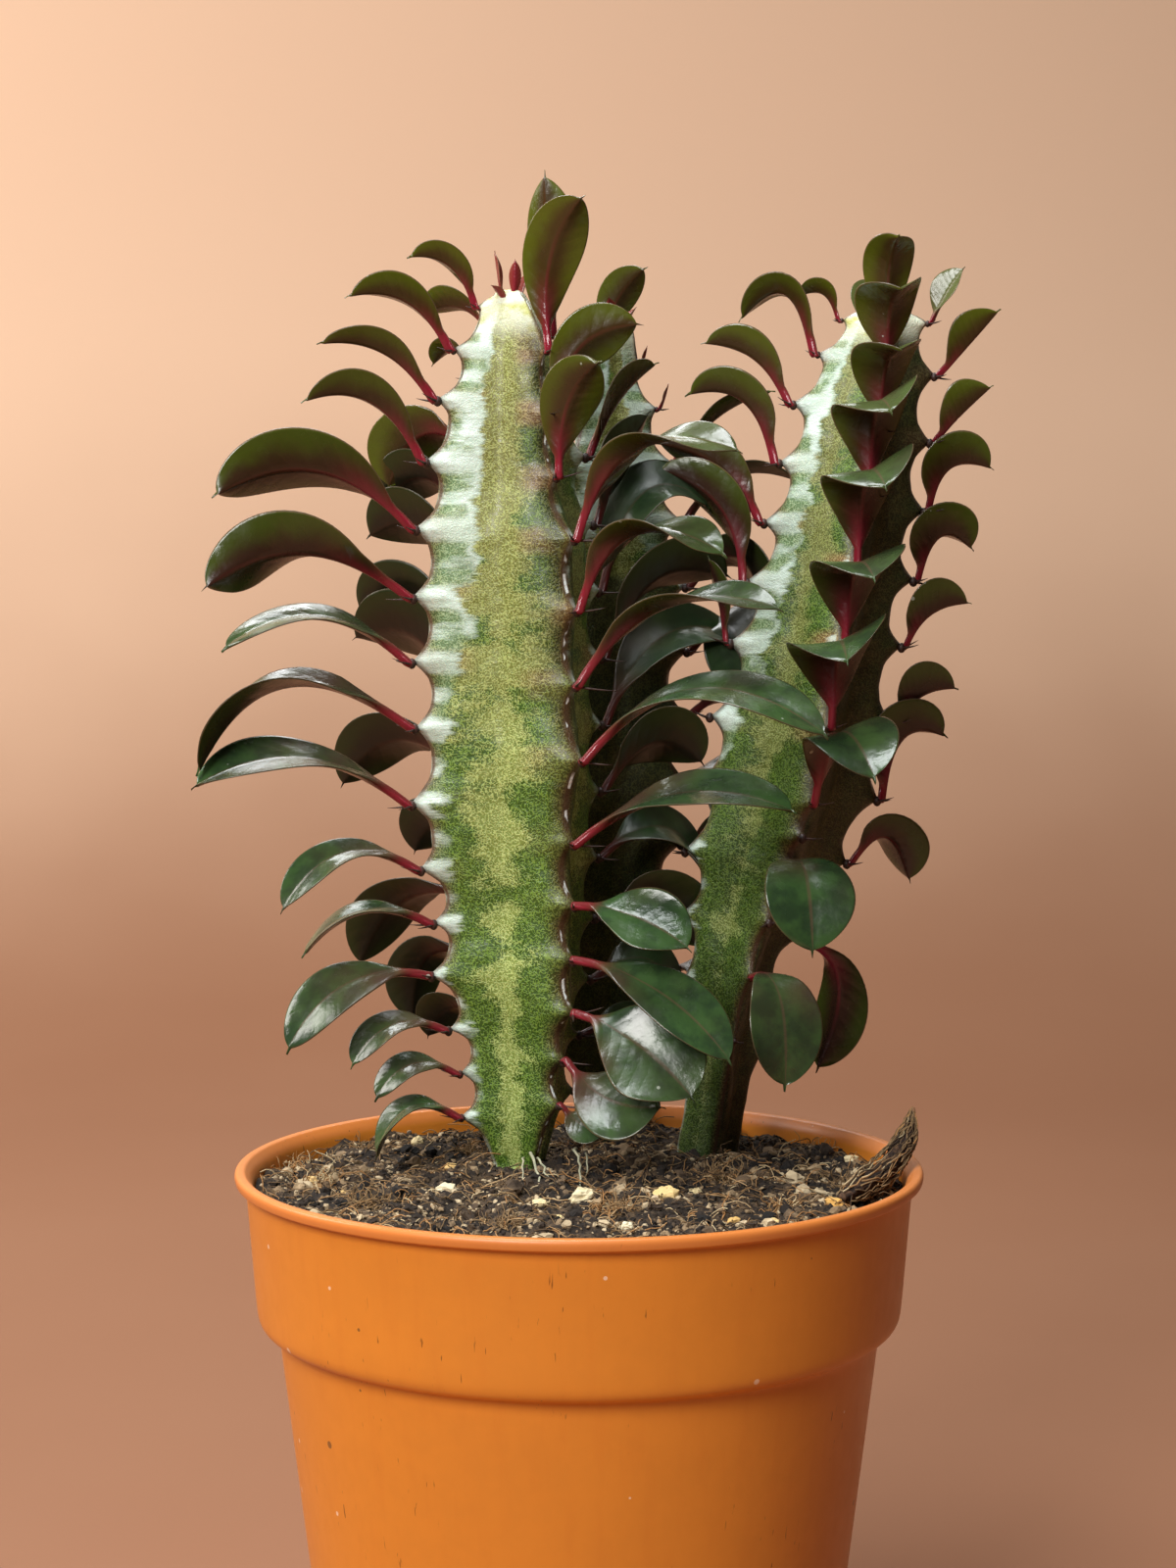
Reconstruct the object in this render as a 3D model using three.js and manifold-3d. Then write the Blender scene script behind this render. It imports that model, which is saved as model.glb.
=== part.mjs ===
// Potted euphorbia: three ribbed succulent cuttings with spoon-shaped leaves in an orange nursery pot.
// Millimetres, +Z up. The origin is the centre of the pot's base; the plant's front faces -Y.
import * as THREE from 'three';
import { mergeVertices } from 'three/addons/utils/BufferGeometryUtils.js';
import Module from 'manifold-3d';

const wasm = await Module();
wasm.setup();

// ---------------------------------------------------------------- driving sizes

const POT_HEIGHT = 105;
const POT_SIDES = 40;
const WALL = 1.2;
const FLOOR = 1.6;
const LIP_RADIUS = 60;
const LIP_HEIGHT = 2;
const LIP_WIDTH = 1.7;
const LIP_ROUND = 0.5;
const LIP_FALL = 1.4;
const COLLAR_TOP_RADIUS = 58;
const COLLAR_FOOT_RADIUS = 56.3;
const COLLAR_DEPTH = 24.5;
const COLLAR_CORNER = 2.2;
const SHOULDER_DEPTH = 28;
const SHOULDER_RISE = 0.8;
const BODY_TOP_RADIUS = 52.5;
const BASE_RADIUS = 42.9;
const BASE_CHAMFER = 0.8;
const DRAIN_HOLES = 6;
const DRAIN_RADIUS = 4;
const DRAIN_CIRCLE = 27;
const DRAIN_SIDES = 16;

const SEAT_GAP = 0.3;
const SOIL_EDGE = 100.6;
const SOIL_DOME = 2.2;
const SOIL_BUMP = 0.25;
const SOIL_SHOULDER = 6;
const SOIL_RINGS = 9;
const SOIL_SIDES = 36;

const ROOT_DEPTH = 26;
const ROOT_RADIUS = 6.5;
const ROOT_BLEND = 7;
const ROOT_SPARE = 1;
const ROOT_STEPS = [0.3, 0.6, 0.85, 1];
const APEX_RADIUS = 3.2;
const APEX_SWELL = 0.8;
const TOOTH_SHARE = 0.28;
const TOOTH_DEPTH = 3.8;
const TOOTH_LEAN = 0.9;
const TOOTH_ROUNDING = 0.85;
const FURROW_SHARE = 0.62;
const FACE_HOLLOW = 0.97;
const FACE_CURVE = 1.7;
const FLANK_PLACE = 0.32;
const LONGEST_STEP = 4;
const SHORTEST_STEP = 0.4;

const LEAF_GAP = 0.5;
const LEAF_STEPS = 12;
const STALK_FOOT_SHARE = 0.5;
const PETIOLE_SHARE = 0.1;
const PETIOLE_HALF_WIDTH = 0.9;
const PETIOLE_THICKNESS = 1.7;
const PETIOLE_TAPER = 0.6;
const BLADE_THICKNESS = 1.0;
const BLADE_START = 0.4;
const BLADE_SWELL = 1.4;
const BLADE_ROUNDING = 0.65;
const TIP_HALF_WIDTH = 0.25;
const TURN_START = 0.3;
const TURN_LENGTH = 0.6;

// ---------------------------------------------------------------- colours from the photograph

const ORANGE = { color: 0xd2762c, roughness: 0.42, metalness: 0 };
const PEAT = { color: 0x2c2119, roughness: 0.95, metalness: 0 };
const STEM_GREEN = { color: 0x8a9b58, roughness: 0.5, metalness: 0 };
const LEAF_GREEN = { color: 0x35452f, roughness: 0.38, metalness: 0 };
const YOUNG_LEAF = { color: 0x5a4a2a, roughness: 0.42, metalness: 0 };
const DRY_ROOT = { color: 0x6b5236, roughness: 0.9, metalness: 0 };

// ---------------------------------------------------------------- stems
// path: height, x and y of the stem's middle. Each rib has its compass direction in degrees
// (0 to the front, 90 to the right) and its leaf seats, as height and distance from the middle.

const STEMS = {
  left_stem: {
    ground: 103,
    apex: 256.5,
    path: [[103, -10.6, 10], [256.5, -12, 10]],
    ribs: {
      outer: {
        toward: -69,
        seats: [
          [254.4, 6.3], [246.9, 11], [238.1, 14.1], [227.3, 16.3], [215.6, 18.3],
          [203.7, 19], [192.5, 19.4], [181, 19], [167.6, 19.7], [156.1, 18.2],
          [146.6, 16], [137.4, 16.5], [127.6, 13.5], [119.7, 11.4], [111.9, 11.2],
        ],
      },
      inner: {
        toward: 38,
        seats: [
          [246.3, 10.5], [235.5, 13], [224.5, 13], [213.7, 18], [201.5, 18.5],
          [188.6, 18], [175.7, 19.5], [161.2, 17], [150.5, 17], [141, 16.5],
          [131.7, 16.5], [123, 13.5], [115, 12],
        ],
      },
      far: {
        toward: 122,
        seats: [
          [250, 8], [240, 13], [229, 15.5], [217, 17], [205, 18], [193, 18.5], [181, 18.5],
          [169, 18], [157, 17.5], [146, 16.5], [135, 15.5], [125, 13], [115, 11.5],
        ],
      },
      rear: {
        toward: 215,
        seats: [
          [252, 7.5], [243, 12], [232, 15], [221, 17], [209, 18], [197, 18.5], [185, 18.5],
          [173, 18], [161, 17.5], [150, 16.5], [139, 15.5], [129, 13.5], [119, 11.5],
        ],
      },
    },
  },
  right_stem: {
    ground: 103,
    apex: 256,
    path: [[103, 23.5, 23], [138, 29.5, 23], [170, 39, 24], [205, 45.5, 24], [256, 54.5, 25]],
    ribs: {
      inner: {
        toward: -90,
        seats: [
          [254, 6.9], [247.9, 10.2], [238.9, 13.1], [228.3, 13.8], [217.5, 14.6],
          [206.7, 15.7], [195.7, 16.8], [182.3, 18.2], [170, 17.8], [157.7, 16.5],
          [146, 13.5], [134, 10], [122, 7.5],
        ],
      },
      front: {
        toward: 10,
        seats: [
          [250.5, 7.5], [244.5, 10.5], [233.5, 13], [221.5, 14.5], [209, 15.5], [195, 16.5],
          [181, 17.5], [167.5, 17.5], [161.5, 16.5], [155.5, 15], [146, 12.5], [136, 11], [124, 7.5],
        ],
      },
      outer: {
        toward: 92,
        seats: [
          [253.5, 9.2], [244, 12.2], [232, 13.6], [219.5, 14.8], [207, 15.2], [195, 15.2],
          [181, 16], [167, 16.5], [155.5, 14.5], [141.5, 9.5], [131, 8.2], [121, 7.2],
        ],
      },
      far: {
        toward: 180,
        seats: [
          [251, 9.5], [240, 13], [229, 14.5], [217, 15.5], [204, 16.5], [191, 17.5],
          [178, 17.5], [166, 17], [154, 15], [143, 12.5], [131, 9.5],
        ],
      },
    },
  },
  back_stem: {
    ground: 102.5,
    apex: 254,
    path: [[102.5, 4, 38], [254, 6.5, 38]],
    ribs: {
      inner: {
        toward: -50,
        seats: [
          [249, 5.5], [239, 9.5], [228, 12.5], [216, 14.5], [204, 15], [192, 15.5],
          [180, 15.5], [168, 15.5], [156, 15], [144, 14], [132, 12.5], [120, 10.5],
        ],
      },
      outer: {
        toward: 80,
        seats: [
          [246.3, 4.4], [238.9, 8.3], [229, 11.5], [218, 13.5], [206, 14.5], [194, 15],
          [182, 15], [170, 15], [158, 14.5], [146, 13.5], [134, 12], [122, 10],
        ],
      },
      far: {
        toward: 195,
        seats: [
          [250, 5.5], [240, 9.5], [229, 12.5], [217, 15], [205, 15.5], [193, 15.5],
          [181, 15.5], [169, 15.5], [157, 15], [145, 14], [133, 12.5], [121, 10.5],
        ],
      },
    },
  },
};

// ---------------------------------------------------------------- leaves
// One row per leaf: its seat, counted from the top of the rib, and its compass direction; then, from
// the seat, how far out and up the arch and the tip lie, and the blade's width; then the blade's roll
// near the stalk and near the tip, and how far its halves fold up. Millimetres and degrees.

const LEAVES = [
  {
    stem: 'left_stem',
    rib: 'outer',
    rows: [
      [1, -69, 6, 8, 11.4, 8.3, 6.5, -30, -30, 30],
      [2, -69, 11, 9.3, 17.7, 8.7, 7.5, -35, -35, 30],
      [3, -69, 12, 9.2, 19.6, 9.3, 7.5, -20, -20, 30],
      [4, -69, 13, 11.5, 20.5, 10.3, 9, -30, -30, 30],
      [5, -69, 19.5, 10.2, 34.3, 5.7, 14, -40, -65, 25],
      [6, -69, 23, 7.5, 35.7, 1.9, 14.5, -5, -85, 25],
      [7, -69, 17, 8, 32, 2.8, 12, 20, 10, 10],
      [8, -69, 25.3, 6.8, 37.6, -6.4, 15, 22, -30, 15],
      [9, -69, 22, 8.6, 37.3, 4.3, 13, 22, 22, 8],
      [10, -69, 12, 3.6, 23.9, -5.7, 9, 25, 25, 8],
      [11, -69, 11.4, 2.8, 22.4, -4, 9, 15, -10, 10],
      [12, -69, 13, -0.2, 25, -11.3, 12, 30, 30, 8],
      [13, -69, 8.5, 1.6, 16.6, -5, 8, 25, 25, 8],
      [14, -69, 7.6, 2.2, 14.5, -3.2, 7.5, 25, 25, 8],
      [15, -69, 7.8, 2.5, 14.8, -5.6, 8.5, 20, -10, 12],
    ],
  },
  {
    stem: 'left_stem',
    rib: 'inner',
    rows: [
      [1, 40, 4.5, 22, 8.5, 25, 10.8, 42, 42, 14],
      [2, 86, 4.5, 12, 13.4, 15, 10.5, 70, 70, 14],
      [3, 40, 6.5, 17, 10, 18.8, 10.5, 40, 40, 8],
      [4, 66, 9.5, 14.5, 29, 14.5, 11, 35, -40, 15],
      [5, 66, 8.5, 12.5, 26, 9.5, 12, 30, -35, 15],
      [6, 66, 13, 12.5, 36, 13.3, 11, 20, -30, 12],
      [7, 66, 19, 12.3, 43, 5.5, 14.5, -15, -25, 10],
      [8, 66, 19, 9.2, 39, 7, 15, -20, -20, 10],
      [9, 62, 10, -1, 21, -6, 13, -40, -40, 8],
      [10, 62, 15, -4, 29, -15, 12, -35, -35, 8],
      [11, 62, 11, -4, 22, -12.7, 18, -55, -50, 6],
      [12, 62, 8, -6, 18, -6.5, 15, -50, -45, 6],
      [13, 62, 4, -3, 9, -3, 8, -45, -45, 6],
    ],
  },
  {
    stem: 'left_stem',
    rib: 'rear',
    rows: [
      [4, 236, 9, 5, 17, 1, 12, -45, -45, 12],
      [6, 238, 12, 8, 22, 5, 13, -50, -50, 12],
      [8, 240, 14, 5, 26, -3.6, 13, -45, -45, 12],
      [10, 240, 12, -1, 23.5, -14, 12.5, -40, -40, 12],
    ],
  },
  {
    stem: 'right_stem',
    rib: 'inner',
    rows: [
      [1, -100, 4, 5.3, 7, 4.5, 6.5, -20, -20, 20],
      [2, -100, 7, 11.5, 13, 7, 8.5, -25, -25, 20],
      [3, -100, 11, 10.8, 15, 11.3, 9, -35, -35, 30],
      [4, -100, 9.5, 13.2, 15.3, 12.8, 9.5, -35, -35, 30],
      [5, -100, 7, 10, 18, 14.5, 10, -60, -60, 20],
      [6, -100, 5, 15, 15, 20.5, 10, -60, -60, 20],
    ],
  },
  {
    stem: 'right_stem',
    rib: 'front',
    rows: [
      [1, 8, 3, 14.5, 7, 16.5, 10, 5, 5, 25],
      [2, 8, 4, 11.8, 9.5, 12.8, 13, -5, -5, 25],
      [3, 10, 5, 11.8, 12.5, 12.8, 13, -5, -5, 20],
      [4, 8, 6, 16, 15, 14, 16, -20, -20, 12],
      [5, 10, 7, 16.5, 17, 13.5, 17, -20, -20, 12],
      [6, 10, 8, 14.5, 18, 12, 17, -12, -12, 12],
      [7, 2, 9, 15, 20, 12, 18, -18, -18, 10],
      [8, 22, 10, 13, 22, 6, 16, -15, -15, 10],
      [10, 8, 9, 2, 18, -12, 16, 0, 0, 8],
      [12, 20, 8, 0.5, 14, -17, 14, 0, 0, 8],
    ],
  },
  {
    stem: 'right_stem',
    rib: 'outer',
    rows: [
      [2, 85, 5, 5.5, 10.3, 11.4, 9, 30, 30, 38],
      [3, 85, 5, 5.5, 9.8, 9.8, 9.5, 35, 35, 36],
      [4, 88, 6, 9, 11, 8, 11, 40, 40, 36],
      [5, 88, 6, 8.5, 9.5, 6, 11.5, 40, 40, 36],
      [6, 88, 6, 7, 11, 8, 11.5, 38, 38, 34],
      [10, 95, 2.5, -1, 3.5, -23.5, 11, 60, 60, 20],
    ],
  },
];

// Dry root and bark: x, y, height and half thickness along the piece.
const ROOT_CLUMP = [
  [44, -21, 103.2, 1.2],
  [47, -17, 104, 2.4],
  [51, -11, 104.8, 2.9],
  [54.6, -5.5, 106.8, 2.7],
  [57.2, -1.5, 110, 2.2],
  [58.4, 0.5, 114.3, 0.5],
];
const CLUMP_SIDES = 8;
const CLUMP_FLATNESS = 0.8;
const CLUMP_RAGGEDNESS = 0.12;
const CLUMP_CLEARANCE = 1.2;

// ---------------------------------------------------------------- helpers

function radians(degrees) {
  return THREE.MathUtils.degToRad(degrees);
}

function heading(toward) {
  return new THREE.Vector3(Math.sin(radians(toward)), -Math.cos(radians(toward)), 0);
}

function solid(geometry) {
  const bare = geometry.clone();
  bare.deleteAttribute('normal');
  bare.deleteAttribute('uv');
  const merged = mergeVertices(bare, 1e-5);
  const vertProperties = new Float32Array(merged.attributes.position.array);
  const triVerts = new Uint32Array(merged.index.array);
  return new wasm.Manifold(new wasm.Mesh({ numProp: 3, vertProperties, triVerts }));
}

function geometryOf(manifold) {
  const mesh = manifold.getMesh();
  const geometry = new THREE.BufferGeometry();
  geometry.setAttribute('position', new THREE.BufferAttribute(new Float32Array(mesh.vertProperties), 3));
  geometry.setIndex(Array.from(mesh.triVerts));
  geometry.computeVertexNormals();
  return geometry;
}

function lathe(profile, sides) {
  const points = profile.map(([radius, height]) => new THREE.Vector2(radius, height));
  const geometry = new THREE.LatheGeometry(points, sides);
  geometry.rotateX(Math.PI / 2);
  return geometry;
}

// A closed skin over rings of points, with a fan at each end. A leaf's upper and lower faces are split
// along like diagonals, from the midrib to the margin, so that they stay apart where the leaf twists.
function skin(rings, isLeaf = false) {
  const positions = [];
  const index = [];
  const sides = rings[0].length;
  for (const ring of rings) {
    for (const point of ring) {
      positions.push(point.x, point.y, point.z);
    }
  }
  for (let row = 0; row < rings.length - 1; row += 1) {
    for (let side = 0; side < sides; side += 1) {
      const next = (side + 1) % sides;
      const low = row * sides;
      const high = low + sides;
      if (isLeaf && side % 2 === 1) {
        index.push(low + side, low + next, high + side);
        index.push(low + next, high + next, high + side);
      } else {
        index.push(low + side, low + next, high + next);
        index.push(low + side, high + next, high + side);
      }
    }
  }
  const ends = [rings[0], rings[rings.length - 1]];
  ends.forEach((ring, end) => {
    const middle = new THREE.Vector3();
    ring.forEach((point) => middle.add(point));
    middle.divideScalar(sides);
    const hub = positions.length / 3;
    const start = end === 0 ? 0 : (rings.length - 1) * sides;
    positions.push(middle.x, middle.y, middle.z);
    for (let side = 0; side < sides; side += 1) {
      const next = (side + 1) % sides;
      if (end === 0) {
        index.push(hub, start + next, start + side);
      } else {
        index.push(hub, start + side, start + next);
      }
    }
  });
  const geometry = new THREE.BufferGeometry();
  geometry.setAttribute('position', new THREE.Float32BufferAttribute(positions, 3));
  geometry.setIndex(index);
  geometry.computeVertexNormals();
  return geometry;
}

// Smooth values along rows of [place, value, value...], whichever way the rows run.
function smooth(rows, place) {
  const table = [...rows].sort((a, b) => a[0] - b[0]);
  const last = table.length - 1;
  const at = THREE.MathUtils.clamp(place, table[0][0], table[last][0]);
  let cell = 0;
  while (cell < last - 1 && at > table[cell + 1][0]) {
    cell += 1;
  }
  const span = table[cell + 1][0] - table[cell][0];
  const t = (at - table[cell][0]) / span;
  const slope = (row, column) => {
    const before = table[Math.max(row - 1, 0)];
    const after = table[Math.min(row + 1, last)];
    return (after[column] - before[column]) / (after[0] - before[0]);
  };
  return table[0].slice(1).map((_, i) => {
    const column = i + 1;
    const start = table[cell][column];
    const end = table[cell + 1][column];
    return (
      (2 * t ** 3 - 3 * t * t + 1) * start
      + (t ** 3 - 2 * t * t + t) * span * slope(cell, column)
      + (3 * t * t - 2 * t ** 3) * end
      + (t ** 3 - t * t) * span * slope(cell + 1, column)
    );
  });
}

function material(finish) {
  return new THREE.MeshStandardMaterial(finish);
}

// ---------------------------------------------------------------- pot

function potProfile() {
  const rim = POT_HEIGHT;
  const collarFoot = rim - COLLAR_DEPTH;
  const shoulder = rim - SHOULDER_DEPTH;
  return [
    [0, 0],
    [BASE_RADIUS - BASE_CHAMFER, 0],
    [BASE_RADIUS, BASE_CHAMFER],
    [BODY_TOP_RADIUS, shoulder],
    [COLLAR_FOOT_RADIUS - COLLAR_CORNER, shoulder + SHOULDER_RISE],
    [COLLAR_FOOT_RADIUS - LIP_ROUND, shoulder + COLLAR_CORNER],
    [COLLAR_FOOT_RADIUS, collarFoot + SHOULDER_RISE],
    [COLLAR_TOP_RADIUS, rim - LIP_HEIGHT - LIP_ROUND],
    [LIP_RADIUS - LIP_ROUND, rim - LIP_HEIGHT],
    [LIP_RADIUS, rim - LIP_HEIGHT / 2],
    [LIP_RADIUS - LIP_ROUND, rim],
    [LIP_RADIUS - LIP_WIDTH, rim],
    [COLLAR_TOP_RADIUS - WALL, rim - LIP_FALL],
    [COLLAR_FOOT_RADIUS - WALL, collarFoot + WALL],
    [BODY_TOP_RADIUS - WALL, shoulder + WALL],
    [BASE_RADIUS - WALL, FLOOR],
    [0, FLOOR],
  ];
}

function pot() {
  let body = solid(lathe(potProfile(), POT_SIDES));
  for (let hole = 0; hole < DRAIN_HOLES; hole += 1) {
    const angle = (hole * 2 * Math.PI) / DRAIN_HOLES;
    const drill = new THREE.CylinderGeometry(DRAIN_RADIUS, DRAIN_RADIUS, 3 * FLOOR, DRAIN_SIDES);
    drill.rotateX(Math.PI / 2);
    drill.translate(DRAIN_CIRCLE * Math.cos(angle), DRAIN_CIRCLE * Math.sin(angle), 0);
    body = body.subtract(solid(drill));
  }
  return geometryOf(body);
}

// ---------------------------------------------------------------- soil

// A shallow dome with slow waves, 20 to 40 mm long.
function soilHeight(x, y) {
  const radius = Math.hypot(x, y);
  const dome = SOIL_DOME * (1 - (radius / COLLAR_TOP_RADIUS) ** 2);
  const waves = Math.sin(0.31 * x + 1.3) * Math.cos(0.27 * y) + Math.sin(0.17 * x - 0.23 * y);
  return SOIL_EDGE + dome + SOIL_BUMP * waves;
}

// The soil's body, grown by some clearance: its sides follow the pot's inner wall.
function soilBody(clearance) {
  const shoulder = POT_HEIGHT - SHOULDER_DEPTH;
  const wallGap = WALL + SEAT_GAP - clearance;
  const top = [];
  const rimRadius = COLLAR_TOP_RADIUS - wallGap - SEAT_GAP;
  for (let ring = SOIL_RINGS; ring >= 0; ring -= 1) {
    top.push([(rimRadius * ring) / SOIL_RINGS, SOIL_EDGE]);
  }
  const profile = [
    [0, FLOOR + SEAT_GAP - clearance],
    [BASE_RADIUS - wallGap - SEAT_GAP, FLOOR + SEAT_GAP - clearance],
    [BODY_TOP_RADIUS - wallGap, shoulder + WALL],
    [COLLAR_FOOT_RADIUS - wallGap, shoulder + SOIL_SHOULDER],
    ...top,
  ];
  const geometry = lathe(profile, SOIL_SIDES);
  const places = geometry.attributes.position;
  for (let i = 0; i < places.count; i += 1) {
    if (Math.abs(places.getZ(i) - SOIL_EDGE) < 0.01) {
      places.setZ(i, soilHeight(places.getX(i), places.getY(i)) + clearance);
    }
  }
  return solid(geometry);
}

function soil() {
  let body = soilBody(0);
  for (const stem of Object.values(STEMS)) {
    body = body.subtract(solid(stemGeometry(stem, SEAT_GAP)));
  }
  return geometryOf(body);
}

// ---------------------------------------------------------------- stems

function middle(stem, height) {
  const [x, y] = smooth(stem.path, height);
  return new THREE.Vector3(x, y, height);
}

// How far a rib's crest stands from the stem's middle: seats at the teeth, hollows between them.
function crest(stem, rib, height) {
  const { seats } = rib;
  const top = seats[0];
  const foot = seats[seats.length - 1];
  if (height >= top[0]) {
    const share = (stem.apex - height) / (stem.apex - top[0]);
    return APEX_RADIUS + (top[1] - APEX_RADIUS) * share ** APEX_SWELL;
  }
  if (height <= foot[0]) {
    const share = (foot[0] - height) / (foot[0] - stem.ground);
    const tooth = toothDepth(foot[1]) * Math.sin(Math.PI * Math.min(share, 0.5));
    return THREE.MathUtils.lerp(foot[1], ROOT_RADIUS + ROOT_SPARE, share) - tooth;
  }
  const envelope = smooth(seats, height)[0];
  const above = seats.findLastIndex((seat) => seat[0] >= height);
  const share = (seats[above][0] - height) / (seats[above][0] - seats[above + 1][0]);
  return envelope - toothDepth(envelope) * Math.sin(Math.PI * share ** TOOTH_LEAN) ** TOOTH_ROUNDING;
}

function toothDepth(radius) {
  return Math.min(TOOTH_DEPTH, TOOTH_SHARE * radius);
}

function stemRing(stem, height, clearance) {
  const ribs = Object.values(stem.ribs).sort((a, b) => a.toward - b.toward);
  const buried = THREE.MathUtils.clamp((stem.ground - height) / ROOT_BLEND, 0, 1);
  const centre = middle(stem, height);
  const ring = [];
  const aboveGround = Math.max(height, stem.ground);
  const crests = ribs.map((rib) => crest(stem, rib, aboveGround));
  ribs.forEach((rib, i) => {
    const after = ribs[(i + 1) % ribs.length];
    const gap = (after.toward - rib.toward + 360) % 360;
    const next = crests[(i + 1) % ribs.length];
    const flat = Math.min(FURROW_SHARE, FACE_HOLLOW * Math.cos(radians(gap / 2)));
    for (const place of [0, FLANK_PLACE / 2, 0.5, 1 - FLANK_PLACE / 2]) {
      const nearCrest = place <= 0.5 ? crests[i] : next;
      const furrow = flat * 0.5 * (crests[i] + next);
      const fromRib = 2 * Math.min(place, 1 - place);
      const wing = furrow + (nearCrest - furrow) * (1 - fromRib) ** FACE_CURVE;
      const depth = stem.ground - height;
      const taper = ROOT_RADIUS * Math.sqrt(Math.max(0, 1 - (depth / (ROOT_DEPTH + ROOT_SPARE)) ** 4));
      const radius = THREE.MathUtils.lerp(wing, taper, buried) + clearance;
      ring.push(centre.clone().addScaledVector(heading(rib.toward + gap * place), radius));
    }
  });
  return ring;
}

function stemHeights(stem) {
  const wanted = [stem.apex, stem.ground];
  for (const rib of Object.values(stem.ribs)) {
    rib.seats.forEach((seat) => wanted.push(seat[0]));
  }
  for (const share of ROOT_STEPS) {
    wanted.push(stem.ground - share * ROOT_DEPTH);
  }
  wanted.sort((a, b) => a - b);
  const heights = [];
  for (const height of wanted) {
    const last = heights[heights.length - 1];
    if (last === undefined || height - last > SHORTEST_STEP) {
      if (height > stem.ground && height - last > LONGEST_STEP) {
        heights.push((last + height) / 2);
      }
      heights.push(height);
    }
  }
  return heights;
}

function stemGeometry(stem, clearance) {
  const rings = stemHeights(stem).map((height) => stemRing(stem, height, clearance));
  if (clearance > 0) {
    rings[0].forEach((point) => point.setZ(point.z - clearance));
  }
  return skin(rings);
}

// ---------------------------------------------------------------- leaves

function leafSeat(stem, rib, number) {
  const [height, radius] = rib.seats[number - 1];
  return middle(stem, height).addScaledVector(heading(rib.toward), radius + LEAF_GAP);
}

// Half the blade's width at a share of the leaf's length: a narrow stalk, then a spoon.
function halfWidth(share, width) {
  const stalk = PETIOLE_HALF_WIDTH * (1 - PETIOLE_TAPER * share);
  const along = (share - PETIOLE_SHARE) / (1 - PETIOLE_SHARE);
  if (along <= 0 || along >= 1) {
    return along >= 1 ? TIP_HALF_WIDTH : stalk;
  }
  return Math.max(stalk, 0.5 * width * Math.sin(Math.PI * along ** BLADE_SWELL) ** BLADE_ROUNDING);
}

function leafGeometry(stem, rib, row) {
  const [number, toward, archOut, archUp, tipOut, tipUp, width, rollBase, rollTip, fold] = row;
  const seat = leafSeat(stem, rib, number);
  const out = heading(toward);
  const place = (reach, rise) => seat.clone().addScaledVector(out, reach).setZ(seat.z + rise);
  const arch = place(archOut, archUp);
  const tip = place(tipOut, tipUp);
  const share = arch.distanceTo(seat) / (arch.distanceTo(seat) + tip.distanceTo(arch));
  const pull = arch.clone()
    .addScaledVector(seat, -((1 - share) ** 2))
    .addScaledVector(tip, -(share ** 2))
    .divideScalar(2 * share * (1 - share));
  const midrib = new THREE.QuadraticBezierCurve3(seat, pull, tip);
  const sideways = new THREE.Vector3().crossVectors(out, new THREE.Vector3(0, 0, 1));
  const rings = [];
  for (let step = 0; step <= LEAF_STEPS; step += 1) {
    const along = step / LEAF_STEPS;
    const centre = midrib.getPointAt(along);
    const forward = midrib.getTangentAt(along);
    const up = new THREE.Vector3().crossVectors(sideways, forward).normalize();
    const turn = THREE.MathUtils.clamp((along - TURN_START) / TURN_LENGTH, 0, 1);
    const roll = radians(THREE.MathUtils.lerp(rollBase, rollTip, turn) * Math.min(1, along / TURN_START));
    const side = sideways.clone().multiplyScalar(Math.cos(roll)).addScaledVector(up, Math.sin(roll));
    const face = up.clone().multiplyScalar(Math.cos(roll)).addScaledVector(sideways, -Math.sin(roll));
    const foot = step === 0 ? STALK_FOOT_SHARE : 1;
    const half = foot * halfWidth(along, width);
    const reach = half * Math.cos(radians(fold));
    const lift = half * Math.sin(radians(fold));
    const stalkToBlade = Math.min(1, along / BLADE_START);
    const thickness = THREE.MathUtils.lerp(PETIOLE_THICKNESS, BLADE_THICKNESS, stalkToBlade);
    const thick = 0.5 * foot * thickness;
    const edge = (across, raise) => centre.clone()
      .addScaledVector(side, across)
      .addScaledVector(face, raise);
    const ring = [edge(reach, lift), edge(0, thick), edge(-reach, lift), edge(0, -thick)];
    rings.push(ring.reverse());
  }
  return skin(rings, true);
}

// ---------------------------------------------------------------- dry root and bark

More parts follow.
